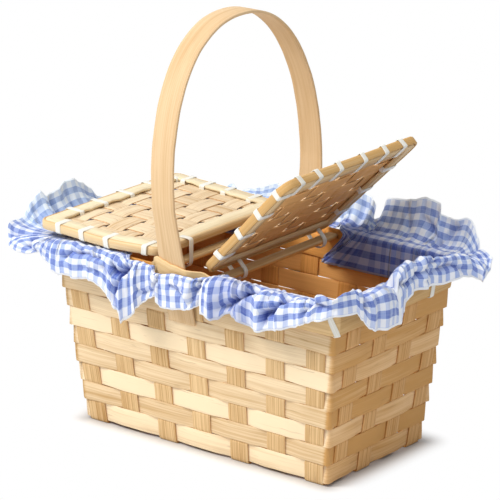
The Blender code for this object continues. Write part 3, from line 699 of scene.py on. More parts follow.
def make_lid_hoop(name, word, profile, material, seed, tone_and_shade, node, curl=0.0):
    """A strip round the lid's border: profile lists (inset, v) round its section.

    Its inner side stands up by curl at most, in uneven stretches.
    """
    profile = np.array(profile)
    inset = profile[:, 0]
    outlines = np.stack([lid_outline(place) for place in inset], axis=1)
    heights = np.broadcast_to(profile[:, 1:], (*outlines.shape[:2], 1))
    points = np.concatenate([outlines, heights], axis=2)
    length = run_length(points[:, 0], True)
    share = length[:-1] / length[-1]
    along, across = uv_grid(length, run_length(profile, True), seed)
    rough = BORDER_ROUGH * wobble(share, seed, 9)
    lifted = np.clip(0.55 + 0.6 * wobble(share, seed + 9, 14), 0.0, 1.0)
    points[..., 2] += rough[:, None]
    points[..., 2] += curl * lifted[:, None] * (inset - inset.min()) / np.ptp(inset)
    points = lid_mover(word)(points)
    obj = surface(name, points, along, across, material, True, True, [("tone_and_shade", tone_and_shade)])
    stand_for(obj, f"{word}_lid", "lid_wood", node)


def panel_room(u):
    """Half the width free for the panel inside the edge band, less at the round corners."""
    inset = EDGE_BAND_THICK + PANEL_CLEAR
    radius = LID_CORNER - inset
    room = mix(LID_HALF_HINGE, LID_HALF_FREE, lid_share(u)) - inset
    for centre, inside in (
        (LID_HINGE_U + LID_CORNER, u < LID_HINGE_U + LID_CORNER),
        (LID_FREE_U - LID_CORNER, u > LID_FREE_U - LID_CORNER),
    ):
        if inside:
            room -= radius - math.sqrt(max(radius**2 - (u - centre) ** 2, 0.0))
    return room


def slat_centre(i):
    """Place of a slat's middle, from the hinge bar."""
    return SLAT_START + SLAT_PITCH * (i + 0.5)


def runner_centre(j, u):
    """Place of a runner's middle. The runners spread towards the free edge."""
    pitch = mix(RUNNER_PITCH_HINGE, RUNNER_PITCH_FREE, lid_share(u))
    return (j - (PANEL_COUNT - 1) / 2) * pitch


def slat_run(i):
    """A slat's run along y, its place in u, and where the runners cross it."""
    u = slat_centre(i)
    end = min(panel_room(u - SLAT_WIDTH / 2), panel_room(u + SLAT_WIDTH / 2))
    return np.linspace(-end, end, 150), u, [runner_centre(j, u) for j in range(PANEL_COUNT)]


def runner_run(j):
    """A runner's run along u, cut back at round corners, its place in y, and where slats cross it."""
    start = LID_HINGE_U + EDGE_BAND_THICK + PANEL_CLEAR
    end = LID_FREE_U - EDGE_BAND_THICK - PANEL_CLEAR
    while panel_room(start) < abs(runner_centre(j, start)) + RUNNER_WIDTH / 2:
        start += TOUCH_GAP
    while panel_room(end) < abs(runner_centre(j, end)) + RUNNER_WIDTH / 2:
        end -= TOUCH_GAP
    run = np.linspace(start, end, 120)
    return run, runner_centre(j, run), [slat_centre(i) for i in range(PANEL_COUNT)]


def make_panel(word, material, seed):
    """The lid's woven panel: slats along y and runners along u, each a strip over and under."""
    level = LIDS[word]["v"] + LID_THICK / 2
    count = 2 * PANEL_COUNT
    tones = np.random.default_rng(seed).uniform(*PANEL_TONES, count)
    skew = np.random.default_rng(seed + 1).uniform(-PANEL_SKEW, PANEL_SKEW, (count, 2)) * MM
    kinds = (
        ("slat", slat_run, SLAT_WIDTH, RUNNER_WIDTH / 2 + 0.2 * MM, 1, X_WAY),
        ("runner", runner_run, RUNNER_WIDTH, SLAT_WIDTH / 2 - 0.6 * MM, -1, Y_WAY),
    )
    for k in range(count):
        kind, run_of, width, reach, first_side, side = kinds[k // PANEL_COUNT]
        i = k % PANEL_COUNT
        run, place, crossing = run_of(i)
        crossing = np.array(crossing)
        sides = first_side * (-1.0) ** (i + np.arange(PANEL_COUNT))
        places = np.stack([crossing - reach, crossing + reach], axis=1).ravel()
        v = level + eased(run, places, np.repeat(sides, 2) * PANEL_OVER)
        place = place + mix(skew[k, 0], skew[k, 1], np.linspace(0, 1, len(run)))
        middle = np.column_stack([place, run, v] if kind == "slat" else [run, place, v])
        obj = splint(f"{word}_panel_{kind}_{i + 1}", middle, Z_WAY, side, (width, PANEL_THICK),
                     material, seed + 5 + 2 * k, tones[k], PANEL_UNEVEN, PANEL_CUP,
                     move=lid_mover(word))
        stand_for(obj, f"{word}_lid", "weaver_splint", f"{word}_lid_{kind}_{i + 1}")


def box_loop(low, high, bottom, top, radius):
    """A round-cornered loop in a plane and its outward directions, as two arrays of (s, v)."""
    corners = (
        (high - radius, top - radius, 0),
        (low + radius, top - radius, 90),
        (low + radius, bottom + radius, 180),
        (high - radius, bottom + radius, 270),
    )
    points, ways = [], []
    for s, v, start in corners:
        turn = np.radians(start + np.linspace(0, 90, LOOP_CORNER_STEPS))
        way = np.column_stack([np.cos(turn), np.sin(turn)])
        points.append((s, v) + radius * way)
        ways.append(way)
    return np.vstack(points), np.vstack(ways)


# Binding ties round the lid borders: (edge, place along the edge) in millimetres
LID_TIES = {
    "left": (
        ("front", 112), ("front", 85), ("front", 57), ("front", 15),
        ("back", 87), ("back", 60), ("back", 30), ("back", 112),
        ("free", -57), ("free", -21), ("free", 16), ("free", 51), ("free", 84),
    ),
    "right": (
        ("front", 26), ("front", 59), ("front", 91), ("front", 122),
        ("back", 28), ("back", 62), ("back", 96),
        ("free", -78), ("free", -52), ("free", -22), ("free", 14), ("free", 46), ("free", 74),
    ),
}  # fmt: skip
TIE_STRAP = (5.8 * MM, 0.6 * MM)
TIE_ROUND = 1.4 * MM
TIE_UNEVEN, TIE_CUP, TIE_SLANT = 0.15 * MM, 0.1 * MM, 1.8
TIE_BELOW, TIE_ABOVE, TIE_OUTSIDE, TIE_INSIDE = 0.45 * MM, 0.55 * MM, 0.5 * MM, 17.6 * MM
LOOP_CORNER_STEPS = 6
HINGE_STRAP = (5.0 * MM, 0.9 * MM)
HINGE_STRAP_PLACES = (-52.0 * MM, 66.0 * MM)
HINGE_STRAP_REACH, HINGE_STRAP_ABOVE, HINGE_STRAP_END = 6.6 * MM, 0.9 * MM, 6.0 * MM


def make_lid_ties(word, material, seed):
    """Flat straps bound round the lid's border: a round-cornered loop square to the edge."""
    lid = LIDS[word]
    low, high = lid["v"] - TIE_BELOW, lid["v"] + LID_THICK + TIE_ABOVE
    loop, ways = box_loop(-TIE_OUTSIDE, TIE_INSIDE, low, high, TIE_ROUND)
    slants = np.random.default_rng(seed).uniform(-TIE_SLANT, TIE_SLANT, len(LID_TIES[word])) * MM
    for number, (edge, place) in enumerate(LID_TIES[word]):
        place = place * MM
        half = mix(LID_HALF_HINGE, LID_HALF_FREE, lid_share(place))
        origin, inward, along = {
            "free": ((LID_FREE_U, place), -X_WAY, Y_WAY),
            "front": ((place, -half), Y_WAY, X_WAY),
            "back": ((place, half), -Y_WAY, X_WAY),
        }[edge]
        shift = slants[number] * (loop[:, 1] - low) / (high - low)
        middle = np.append(origin, 0.0) + np.outer(loop[:, 0], inward)
        middle = middle + np.outer(shift, along) + np.outer(loop[:, 1], Z_WAY)
        out = np.outer(ways[:, 0], inward) + np.outer(ways[:, 1], Z_WAY)
        obj = splint(f"{word}_border_tie_{number + 1}", middle, out, along, TIE_STRAP, material,
                     seed + number, 0.5, TIE_UNEVEN, TIE_CUP, wrap=True, move=lid_mover(word))
        stand_for(obj, f"{word}_lid", "tie")


def make_hinge_ties(word, material, seed):
    """Flat straps that hang the lid on its bar: round under the bar, up and over the border."""
    bottom = LIDS[word]["v"] - TOUCH_GAP
    top = LIDS[word]["v"] + LID_THICK + HINGE_STRAP_ABOVE
    reach, end = HINGE_STRAP_REACH, HINGE_STRAP_END
    turn = np.radians(np.linspace(0, 180, 15))
    line = np.vstack([
        [(reach, bottom), (reach, bottom / 2)],
        np.column_stack([reach * np.cos(turn), -reach * np.sin(turn)]),
        [(-reach, top / 2), (-reach, top - 2.2 * MM), (-reach + 0.7 * MM, top - 0.6 * MM)],
        [(-reach + 2.2 * MM, top), (0.0, top), (end, top)],
    ])
    u, v = line.T
    forward, up = line_tangent(line).T
    out = np.column_stack([up, np.zeros_like(u), -forward])
    for number, y in enumerate(HINGE_STRAP_PLACES):
        middle = np.column_stack([u, np.full_like(u, y), v])
        obj = splint(f"{word}_hinge_strap_{number + 1}", middle, out, Y_WAY, HINGE_STRAP, material,
                     seed + number, 0.4, 0.2 * MM, TIE_CUP, move=lid_mover(word))
        stand_for(obj, f"{word}_lid", "tie", f"{word}_hinge_tie_{number + 1}")


def make_lids(rail, pale, panel, tie):
    """Both lids: an edge band, an under and a top rail, the woven panel and the ties."""
    for number, (word, lid) in enumerate(LIDS.items()):
        bottom, top = lid["v"], lid["v"] + LID_THICK
        band = (
            (0.5 * MM, bottom), (0.0, bottom + 0.6 * MM), (0.0, top - 2.2 * MM),
            (0.2 * MM, top - 1.2 * MM), (0.8 * MM, top - 0.4 * MM), (1.7 * MM, top),
            (EDGE_BAND_THICK, top), (EDGE_BAND_THICK, bottom),
        )  # fmt: skip
        seed = SEEDS["border"] + 60 * number
        # Painted shade: the raised right lid's border band is painted darker
        make_lid_hoop(f"{word}_border_band", word, band, rail, seed, BORDER_TONE - lid["dark"],
                      f"{word}_lid_edge_band")
        far = EDGE_BAND_THICK + TOUCH_GAP + RAIL_WIDTH
        for kind, low, wood, gap, curl in (
            ("under", bottom, rail, UNDER_RAIL_GAP, 0.0),
            ("top", top - RAIL_THICK, pale, TOUCH_GAP, RAIL_CURL),
        ):
            near, high = EDGE_BAND_THICK + gap, low + RAIL_THICK
            profile = (
                (near, low), (near, high - RAIL_ROUND), (near + RAIL_ROUND, high),
                (far - RAIL_ROUND, high), (far, high - RAIL_ROUND), (far, low),
            )  # fmt: skip
            seed += 1
            # Painted shade: the raised right lid's rails are painted darker too
            make_lid_hoop(f"{word}_{kind}_border", word, profile, wood, seed,
                          RAIL_TONE - lid["dark"], f"{word}_lid_{kind}_rail", curl)
        make_panel(word, panel, SEEDS["panel"] + 60 * number)
        make_lid_ties(word, tie, SEEDS["border_tie"] + 40 * number)
        make_hinge_ties(word, tie, SEEDS["hinge_tie"] + 10 * number)


# Rim ties: (place round the wall, slant round the wall over the band's height)
RIM_TIES = (
    (0.925, 0.06), (1.78, 0.0), (2.0, 0.05), (3.0, 0.05), (3.97, 0.05), (1.28, 0.0), (3.5, 0.0),
)  # fmt: skip


def make_rim_ties(material):
    """Flat straps bound round both rim bands: a loop through the wall, slanted along it."""
    low, high = BAND_BOTTOM_Z - 0.9 * MM, OUTER_BAND_TOP_Z + 0.7 * MM
    outer = BAND_GAP + OUTER_BAND_THICK + 0.6 * MM
    inner = -(BAND_GAP + INNER_BAND_THICK + 0.6 * MM)
    loop, ways = box_loop(inner, outer, low, high, TIE_ROUND)
    between = np.linspace(0, 1, 8)[1:-1, None]
    steps = LOOP_CORNER_STEPS
    parts, directions = [], []
    for k in range(4):
        corner = slice(steps * k, steps * (k + 1))
        following = loop[steps * (k + 1) % len(loop)]
        parts += [loop[corner], mix(loop[corner][-1], following, between)]
        directions += [ways[corner], np.tile(ways[corner][-1], (len(between), 1))]
    (out_place, z), ways = np.vstack(parts).T, np.vstack(directions)
    for number, (place, slant) in enumerate(RIM_TIES):
        t = place + slant * (high - z) / (high - low)
        middle = ring_point(t, z, out_place, BAND_CORNER)
        side = ring_point(t + 0.002, z, out_place, BAND_CORNER) - middle
        outward = ring_point(t, z, out_place + 1.0 * MM, BAND_CORNER) - middle
        side, outward = (way / np.linalg.norm(way, axis=1, keepdims=True) for way in (side, outward))
        out = outward * ways[:, :1] + np.outer(ways[:, 1], Z_WAY)
        obj = splint(f"rim_tie_{number + 1}", middle, out, side, TIE_STRAP, material,
                     SEEDS["rim_tie"] + number, 0.45, TIE_UNEVEN, TIE_CUP, wrap=True)
        stand_for(obj, "basket", "tie")


# Ruffle, measured round the rim from the front left corner: place, hem height, hem reach, all in mm
RIM_CORNER = 8.0 * MM
CLOTH_END = 181.0
HEM_PLACES = np.array(
    [
        (0, 160, 22), (3.5, 153, 22), (11, 150, 20), (16, 151.5, 20), (24, 151, 17), (32, 150, 20),
        (43, 152, 16), (53, 152, 19), (61, 148.5, 19), (66, 144, 20), (71, 140, 21),
        (79, 131, 22), (87, 123, 24), (91, 121.5, 25), (95, 125, 23), (101, 132, 20),
        (105, 137.5, 18), (111, 143, 15), (118, 148, 15), (123, 150.5, 17), (127, 147, 20),
        (131, 143, 19), (143, 144, 20), (154, 145.5, 17), (166, 149, 20), (176, 153, 17),
        (180.4, 149, 20), (187, 144, 22), (198, 146, 19), (204, 152, 17), (207, 153.5, 17),
        (213, 152, 19), (220, 150, 20), (232, 147, 17), (244, 145, 22), (257, 148.5, 18),
        (268, 152, 22), (279, 156, 18), (288, 161, 22), (294, 164, 19), (304, 168, 21),
        (310, 173, 18), (316, 172, 17), (320, 165, 19), (328, 156, 21), (336, 153, 24),
        (347, 150.5, 24.5), (358, 150, 24), (370, 148.5, 23), (376, 147.5, 22), (380, 157, 20),
        (384, 165, 19), (390, 170, 21), (398, 172, 19), (410, 171, 23), (425, 170, 19),
        (445, 167, 22), (456, 169, 27), (462, 170, 28), (470, 168.5, 31), (478, 165, 33),
        (480, 163, 36), (482, 172, 40), (483.5, 182, 39), (484.6, 186, 30), (485.8, 183, 25),
        (487, 194, 25), (489, 203, 25), (493.2, 206.5, 26), (500, 204, 24), (505, 203, 26),
        (511, 203, 28), (517, 204.5, 27), (520.5, 210, 29), (524, 214, 30), (530, 216, 29),
        (537, 216.5, 31), (549, 213, 28), (562, 210, 31), (571, 210, 29), (580, 208.5, 30),
        (583.5, 206, 29), (585, 189, 24), (590, 187, 23), (591.5, 200, 28), (595, 204, 28),
        (602, 206, 30), (616, 209, 31),
        (630, 203, 25), (648, 207, 31), (666, 203, 27), (682, 204, 31), (698, 197, 25),
        (712, 198, 31), (727, 192, 28), (740, 186, 33), (755, 184, 28), (768, 187, 34),
        (782, 179, 29), (796, 177, 36), (808, 175, 38), (822, 172, 32), (838, 174, 36),
        (858, 176, 31), (870, 182, 33), (880, 187.5, 35), (890, 197, 37), (901, 205, 38),
        (912.6, 211, 39), (922, 210.5, 40), (936, 206, 38), (943.5, 204.5, 39), (950.6, 203, 38),
        (956, 208.5, 42), (960, 206, 43), (964.7, 200.5, 45), (970, 193, 47), (973, 189, 46),
        (975, 187.5, 45), (977.7, 188.5, 48), (978.4, 178, 48), (978.9, 169, 47), (980.5, 167, 41),
        (982.1, 166, 34), (984.2, 168.5, 23),
    ],
    dtype=float,
)  # fmt: skip
HEM_PLACES[:, 1:] *= MM
# Creases, in mm: depth, half width before and after the line, and the line as places and heights
CREASES = (
    (15, 5, 1.3, ((98, 177), (90, 164), (83, 151), (81, 141), (84, 132), (88, 126))),
    (9, 3, 3, ((75, 171), (78, 166), (87, 169), (94, 176))),
    (3.5, 2.5, 2.5, ((63, 167), (73, 158), (79, 145))),
    (2.5, 2.5, 2.5, ((39, 162), (57, 162), (67, 154))),
    (6, 2.5, 2.5, ((18, 168), (22, 173), (27, 175), (36, 176), (48, 176), (58, 176))),
    (4, 2, 2, ((105, 155), (111, 151), (122, 156))),
    (8, 1.5, 1.2, ((128, 168), (124, 162), (124, 150))),
    (4.5, 2, 1.5, ((145, 167), (152, 161), (160, 155))),
    (-2.5, 1.5, 1.5, ((149, 173), (158, 165), (168, 160))),
    (6, 2.5, 2, ((173, 179), (179, 174), (171, 166), (170, 159), (163, 151))),
    (5, 3, 2, ((216, 187), (215, 173), (213, 165))),
    (5, 2, 2, ((214, 169), (206, 161), (199, 156))),
    (10, 4.5, 1.3, ((249, 190), (238, 181), (225, 172), (206, 157))),
    (11, 3.4, 2.5, ((277, 185), (271, 181), (264, 176), (262, 170), (255, 164), (248, 162), (250, 155))),
    (-2.5, 2, 2, ((239, 175), (246, 169), (248, 158), (252, 154))),
    (4, 2.5, 1.5, ((291, 174), (297, 179), (302, 185), (309, 180), (308, 173))),
    (6, 3, 1.6, ((306, 184), (304, 170))),
    (12, 2.6, 1.5, ((327, 192), (325, 178))),
    (5, 3, 2, ((365, 191), (383, 182), (396, 185), (434, 192))),
    (4, 3, 2.5, ((471, 171), (452, 184), (434, 183), (407, 176))),
    (5, 4, 2, ((493, 207), (513, 183))),
    (5, 2.5, 4, ((533, 197), (512, 180))),
    (4, 3, 3, ((556, 206), (549, 186))),
    (5, 1.2, 2.5, ((587, 184), (587, 178))),
    (4, 5, 5, ((608, 206), (606, 184))), (4, 6, 6, ((640, 203), (633, 182))),
    (4, 5, 6, ((664, 203), (667, 184))), (4, 6, 6, ((700, 197), (697, 183))),
    (4, 5, 5, ((726, 193), (730, 181))), (5, 6, 7, ((752, 185), (755, 178))),
    (5, 5, 5, ((783, 178), (784, 173))), (5, 6, 7, ((822, 172), (822, 178))),
    (5, 6, 6, ((853, 174), (856, 179))), (4, 4.5, 4.5, ((905, 208), (888, 184))),
    (4, 4, 4, ((926, 205), (922, 184))), (6, 3, 3.5, ((945, 199), (942, 181))),
    (5, 4, 4, ((963, 192), (966, 180))), (6, 0.9, 0.4, ((979.5, 186), (982, 176), (984, 166))),
    (2.5, 0.5, 0.5, ((978, 188), (978.3, 164))),
)
# Extra height of the roll beside the rim, by place, in mm
CRESTS = np.array(
    [
        (0, 4), (20, 7), (60, 7), (80, 5), (92, 1), (100, 0), (178, 0), (184, 9), (205, 13),
        (224, 14), (233, 9), (240, 3), (246, 7), (262, 10), (275, 11), (292, 13), (298, 12),
        (306, 26), (313, 33), (320, 30), (326, 16), (330, 14), (338, 20), (347, 21), (356, 20),
        (368, 15), (372, 8), (375, 40), (384, 43), (413, 40), (451, 30), (471, 24), (480, 8),
        (486, 0), (990, 0),
    ],
    dtype=float,
)  # fmt: skip
# How far the stripes along the hem stand out, against those across it, by place in mm
STRIPE_TURNS = np.array(
    [
        (0, 0.05), (12, 0.2), (24, 1), (90, 1), (97, 0), (222, 0), (228, 1), (370, 1), (378, 0.4),
        (480, 0.4), (486, 1), (970, 1), (976, 0.1), (990, 0.05),
    ]
)  # fmt: skip
SEAM_PLACES = (124.6, 373.0)
# Stretches of the rim, by place in mm: each rises from the first number to the second and falls
# from the third to the fourth
CALM_CURL = (880, 900, 984, 986)
STANDING_LOBES = (484, 488, 973, 977)
BEHIND_LEFT_LID = (560, 580, 660, 680)
STEEP_FRONT = (184, 192, 230, 240)
UNDER_RIGHT_LID = (276, 284, 326, 332)
# Between these places the light starts to wash out the standing lobes in full
WASHED_MORE = (580, 620)
# The cloth's ends lap over each other at CLOTH_END: their hems' heights and reaches beside the lap
LAP_FADE = 12.0
OVER_HEM_Z, OVER_REACH = 148.5 * MM, 3.0 * MM
UNDER_HEM_Z, UNDER_REACH = 153.0 * MM, -7.0 * MM
# Columns round the rim, and rows inside it and outside it
RUFFLE_COLUMNS, INNER_ROWS, OUTER_ROWS = 1150, 14, 25
FOLD_CLOTH = 14.5 * MM
WIDE_FOLD_CLOTH = 3.1 * FOLD_CLOTH
GATHER, WIDE_FOLD, INNER_WAVE, CRUMPLE = 1.3 * MM, 2.6 * MM, 0.8 * MM, 0.4 * MM
GATHER_SWAY, WIDE_SWAY = 0.9 * MM, 1.4 * MM
CRUMPLE_WIDTH = 50.0 * MM
# A hem above the first height stands and one below the second hangs, with its knee farther out
STANDING_HEM_Z, HANGING_HEM_Z = 182.0 * MM, 160.0 * MM
KNEE_RISE, KNEE_OUT = 1.5 * MM, 4.5 * MM
FRONT_LEFT_SHIFT, FRONT_LEFT_LATE = 14.0 * MM, 13.0 * MM
FRONT_RAISE, FRONT_RAISE_FROM, FRONT_RAISE_TO = 3.5 * MM, -24.0 * MM, -5.0 * MM
CLOTH_LEAN = 0.13
LIFT_FROM, LIFT_TO, SHIFT_TO, DROP_TO = 66.0 * MM, 49.0 * MM, 34.0 * MM, 29.0 * MM
CLOTH_THICK = 0.55 * MM
# How far out the cloth stays from the rim: beside the rim, below it, and where it drops at the loop
CLEAR_OF_RIM, CLEAR_BELOW, CLEAR_OF_LOOP = 5.4 * MM, 8.2 * MM, 12.6 * MM
CLEAR_FROM_Z, CLEAR_TO_Z = 170.0 * MM, 150.0 * MM
# At the front right corner the cloth stays under and outside the lid when that is turned down
CLOSED_LID_X, CLOSED_LID_Y, CLOSED_LID_Z = 162.7 * MM, 99.2 * MM, 180.4 * MM
CLOSED_LID_SLOPE = 1.5
# The inner flap on the back wall hangs lower and swings left under the bar
BACK_WALL_FROM, BACK_WALL_TO = 70.0 * MM, 85.0 * MM
BACK_FLAP_Z, BACK_FLAP_DEPTH, BACK_FLAP_LOWER = 176.0 * MM, 24.0 * MM, 7.0 * MM
BACK_FLAP_FROM, BACK_FLAP_FULL = 0.0, 20.0 * MM
BACK_FLAP_SWAY, BACK_FLAP_STILL, BACK_FLAP_FREE = 38.0 * MM, 78.0 * MM, 50.0 * MM
# Inner parts as (out, z) in mm: hanging inside, lifted over the bars, in front of the rim, dropped
INNER_PROFILES = (
    ((-5.6, 152.5), (-5.8, 158), (-5.9, 165), (-5.8, 172), (-5.2, 177), (-2.2, 179.2), (2.5, 179.4)),
    ((-6.4, 178.8), (-5.5, 179.0), (-4.4, 179.1), (-3.2, 179.2), (-1.6, 179.3), (0.4, 179.4),
     (3.0, 179.4)),
    ((12.6, 179.0), (12.9, 179.2), (13.3, 179.3), (13.7, 179.4), (14.2, 179.4), (14.8, 179.4),
     (15.4, 179.2)),
    ((13.2, 160.0), (13.2, 163.0), (13.3, 166.0), (13.4, 169.0), (13.9, 171.5), (15.0, 173.2),
     (16.6, 174.0)),
)  # fmt: skip


def rim_frame(place):
    """Point, outward and forward directions on the rim's outline at a distance round it, in mm."""
    length = half_length(STAKE_TOP_Z) - RIM_CORNER
    width = half_width(STAKE_TOP_Z) - RIM_CORNER
    quarter = np.pi / 2 * RIM_CORNER
    sides = np.array([2 * length, quarter, 2 * width, quarter] * 2)
    starts = np.concatenate([[0.0], np.cumsum(sides)])
    s = np.mod(place * MM, starts[-1])
    part = np.clip(np.searchsorted(starts, s, side="right") - 1, 0, 7)
    left = s - starts[part]
    wall = part // 2
    turning = part % 2 == 1
    angle = wall * np.pi / 2 + np.where(turning, left / RIM_CORNER, 0.0)
    forward = np.stack([np.cos(angle), np.sin(angle)], axis=-1)
    outward = np.stack([np.sin(angle), -np.cos(angle)], axis=-1)
    corner_x = np.array([-length, length, length, -length])
    corner_y = np.array([-width, -width, width, width])
    at = np.where(turning, (wall + 1) % 4, wall)
    run = np.where(turning, 0.0, left)
    x = corner_x[at] + forward[..., 0] * run + outward[..., 0] * RIM_CORNER
    y = corner_y[at] + forward[..., 1] * run + outward[..., 1] * RIM_CORNER
    return np.stack([x, y], axis=-1), outward, forward, starts[-1] / MM


def bezier(a, b, c, t):
    """The curve (1-t)^2 a + 2t(1-t) b + t^2 c."""
    return a * (1 - t) ** 2 + b * 2 * t * (1 - t) + c * t**2


def hem_at(place, total):
    """Hem height and reach at a place round the rim, from HEM_PLACES as a closed table."""
    first, last = HEM_PLACES[:1] + (total, 0.0, 0.0), HEM_PLACES[-1:] - (total, 0.0, 0.0)
    table = np.vstack([last, HEM_PLACES, first])
    s = np.mod(place, total)
    return eased(s, table[:, 0], table[:, 1]), eased(s, table[:, 0], table[:, 2])


def ruffle_columns(count):
    """Places of the ruffle's columns, closer where its hem is long, and the hem's length to each."""
    total = rim_frame(np.zeros(1))[3]
    dense = CLOTH_END + np.linspace(0.0, total + 7.0, 4000)
    centre, outward = rim_frame(dense)[:2]
    hem_z, hem_r = hem_at(dense, total)
    cloth = run_length(np.column_stack([centre + outward * hem_r[:, None], hem_z]))
    even = 0.7 * cloth / cloth[-1] + 0.3 * np.linspace(0.0, 1.0, len(dense))
    place = np.interp(np.linspace(0.0, 1.0, count), even, dense)
    return place, np.interp(place, dense, cloth), total


def inner_profile(far, front_left, steps):
    """Inner part of the ruffle as (out, z): hangs inside, lies on the rim, or passes in front of it.

    far is the distance from the handle along the long walls. The lifted part makes room for the
    bars, and the shifted and dropped parts leave the band's loop round the handle free. Where
    front_left is 1, the cloth passes in front of the rim for longer.
    """
    near = far - FRONT_LEFT_SHIFT * front_left
    late = far + FRONT_LEFT_LATE * front_left
    lift = ramp(near, LIFT_FROM, LIFT_TO)[:, None]
    shift = ramp(near, LIFT_TO, SHIFT_TO)[:, None]
    drop = ramp(late, SHIFT_TO, DROP_TO)[:, None]
    tables = []
    for table in INNER_PROFILES:
        places = np.linspace(0.0, 1.0, len(table))
        tables.append([np.interp(steps, places, column) for column in np.array(table).T * MM])
    hanging, lifted, in_front, dropped = np.array(tables)[:, :, None]
    out, z = (
        mix(mix(mix(hanging[c], lifted[c], lift), in_front[c], shift), dropped[c], drop)
        for c in (0, 1)
    )
    return out - CLOTH_LEAN * (STAKE_TOP_Z - z) * (1 - shift), z, drop


def crease_depth(s, z, depth, before, after, line):
    """Depth of one crease: a bell curve of the distance to its line, its width set on each side."""
    nearest = np.full(z.shape, np.inf)
    beyond = np.zeros(z.shape, bool)
    for (s_a, z_a), (s_b, z_b) in zip(line[:-1], line[1:]):
        ahead = np.array([s_b - s_a, z_b - z_a], float)
        x, y = s[:, None] - s_a, z / MM - z_a
        part = np.clip((x * ahead[0] + y * ahead[1]) / (ahead @ ahead), 0.0, 1.0)
        gap = np.hypot(x - part * ahead[0], y - part * ahead[1])
        closer = gap < nearest
        beyond = np.where(closer, ahead[0] * y - ahead[1] * x > 0, beyond)
        nearest = np.where(closer, gap, nearest)
    return depth * MM * np.exp(-((nearest / np.where(beyond, after, before)) ** 2))


def crumple(along, across, seed):
    """Small wrinkles: crossing waves of 6 to 15 mm in random directions, between -1 and 1 or so."""
    rng = np.random.default_rng(seed)
    turns = rng.uniform(0, np.pi, 12)
    lengths = rng.uniform(6, 15, 12) * MM
    phases = rng.uniform(0, 2 * np.pi, 12)
    total = 0.0
    for turn, length, phase in zip(turns, lengths, phases):
        place = along * np.cos(turn) + across * np.sin(turn)
        total = total + np.sin(2 * np.pi * place / length + phase)
    return total / np.sqrt(12)


def ruffle_profile(place, total, centre, outward, steps, t):
    """The smooth profile of each column, as (out, z) from the inner hem over the rim to the outer hem.

    The outer part is a quadratic curve from the rim to the hem. Its middle point lies farther out
    where the cloth hangs. Also returns how far each column drops at the band's loop and how much
    of the back flap each inner point has, both from 0 to 1.
    """
    hem_z, hem_r = hem_at(place, total)
    over = 1 - ramp(place, CLOTH_END, CLOTH_END + LAP_FADE)
    under = ramp(place, CLOTH_END + total - LAP_FADE, CLOTH_END + total + LAP_FADE / 2)
    hem_r = hem_r + OVER_REACH * over + UNDER_REACH * under
    hem_z = mix(mix(hem_z, OVER_HEM_Z, over), UNDER_HEM_Z, under)
    x, y = centre.T
    far = np.where(np.abs(outward[:, 1]) > 0.99, np.abs(x - HANDLE_X), 1.0)
    out_in, z_in, drop = inner_profile(far, (x < HANDLE_X) & (y < 0), steps)
    raised = (y < 0) * ramp(x, FRONT_RAISE_FROM, FRONT_RAISE_TO)
    z_in = z_in + FRONT_RAISE * drop * raised[:, None]

    start_out, start_z = out_in[:, -1:], z_in[:, -1:]
    hanging = ramp(hem_z, STANDING_HEM_Z, HANGING_HEM_Z)[:, None]
    crest = eased(np.mod(place, total), CRESTS[:, 0], CRESTS[:, 1] * MM)[:, None]
    hem_z, hem_r = hem_z[:, None], hem_r[:, None]
    knee_out = mix(0.75 * hem_r, hem_r + KNEE_OUT, hanging)
    knee_z = start_z + mix(-KNEE_RISE, KNEE_RISE, hanging) + crest
    out_out = bezier(start_out, knee_out, hem_r, t)
    z_out = bezier(start_z, knee_z, hem_z, t)

    depth = np.clip((BACK_FLAP_Z - z_in) / BACK_FLAP_DEPTH, 0.0, 1.0)
    at_back = ramp(y, BACK_WALL_FROM, BACK_WALL_TO) * ramp(x, BACK_FLAP_FROM, BACK_FLAP_FULL)
    flap = depth * at_back[:, None]
    out = np.concatenate([out_in, out_out], axis=1)
    z = np.concatenate([z_in - BACK_FLAP_LOWER * flap, z_out], axis=1)
    return out, z, drop, flap


def ruffle_folds(s, cloth, z, drop, inner, outer):
    """How far each point lies off the smooth profile along its normal, and how far it sways forward.

    Gathers of FOLD_CLOTH length, wider folds, wrinkles and CREASES are added up. The gathers are
    deepest beside the rim and the wider folds at the hem.
    """
    share = cloth / cloth[-1]
    places = (0.0, 0.3, 1.0)
    size = np.where(
        outer > 0,
        np.interp(outer, places, (0.4, 1.0, 0.3)),
        np.interp(inner, places, (0.4, 1.0, 0.8)),
    )
    phase = 2 * np.pi * cloth / FOLD_CLOTH + 4.0 * wobble(share, SEEDS["gather"], 19)
    slip = 1.2 * wobble(share, SEEDS["slip"], 23)
    gathers = np.sin(phase[:, None] + slip[:, None] * outer)
    gathers = gathers * np.clip(0.55 + 0.8 * wobble(share, SEEDS["gather_size"], 13), 0.0, 1.3)[:, None]
    wide_phase = 2 * np.pi * cloth / WIDE_FOLD_CLOTH + 3.0 * wobble(share, SEEDS["wide_fold"], 7)
    free = (1 - 0.75 * within(s, CALM_CURL))[:, None]
    fold = GATHER * size * gathers
    fold = fold + WIDE_FOLD * free * outer**0.7 * np.sin(wide_phase)[:, None]
    fold = fold + INNER_WAVE * inner * wobble(share, SEEDS["inner_wave"], 13)[:, None]
    wrinkles = crumple(cloth[:, None], outer * CRUMPLE_WIDTH, SEEDS["crumple"])
    fold = fold + CRUMPLE * ramp(outer, 0.1, 0.4) * wrinkles
    beside_rim = ramp(outer, 0.03, 0.25)
    for crease in CREASES:
        fold = fold - crease_depth(s, z, *crease) * beside_rim
    fold = fold * (1 - 0.5 * ramp(outer, 0.75, 1.0)) * (1 - 0.6 * drop * (1 - outer))
    sway = WIDE_SWAY * free * outer * np.cos(wide_phase)[:, None]
    return fold, sway + GATHER_SWAY * size * np.sin(2 * phase)[:, None]


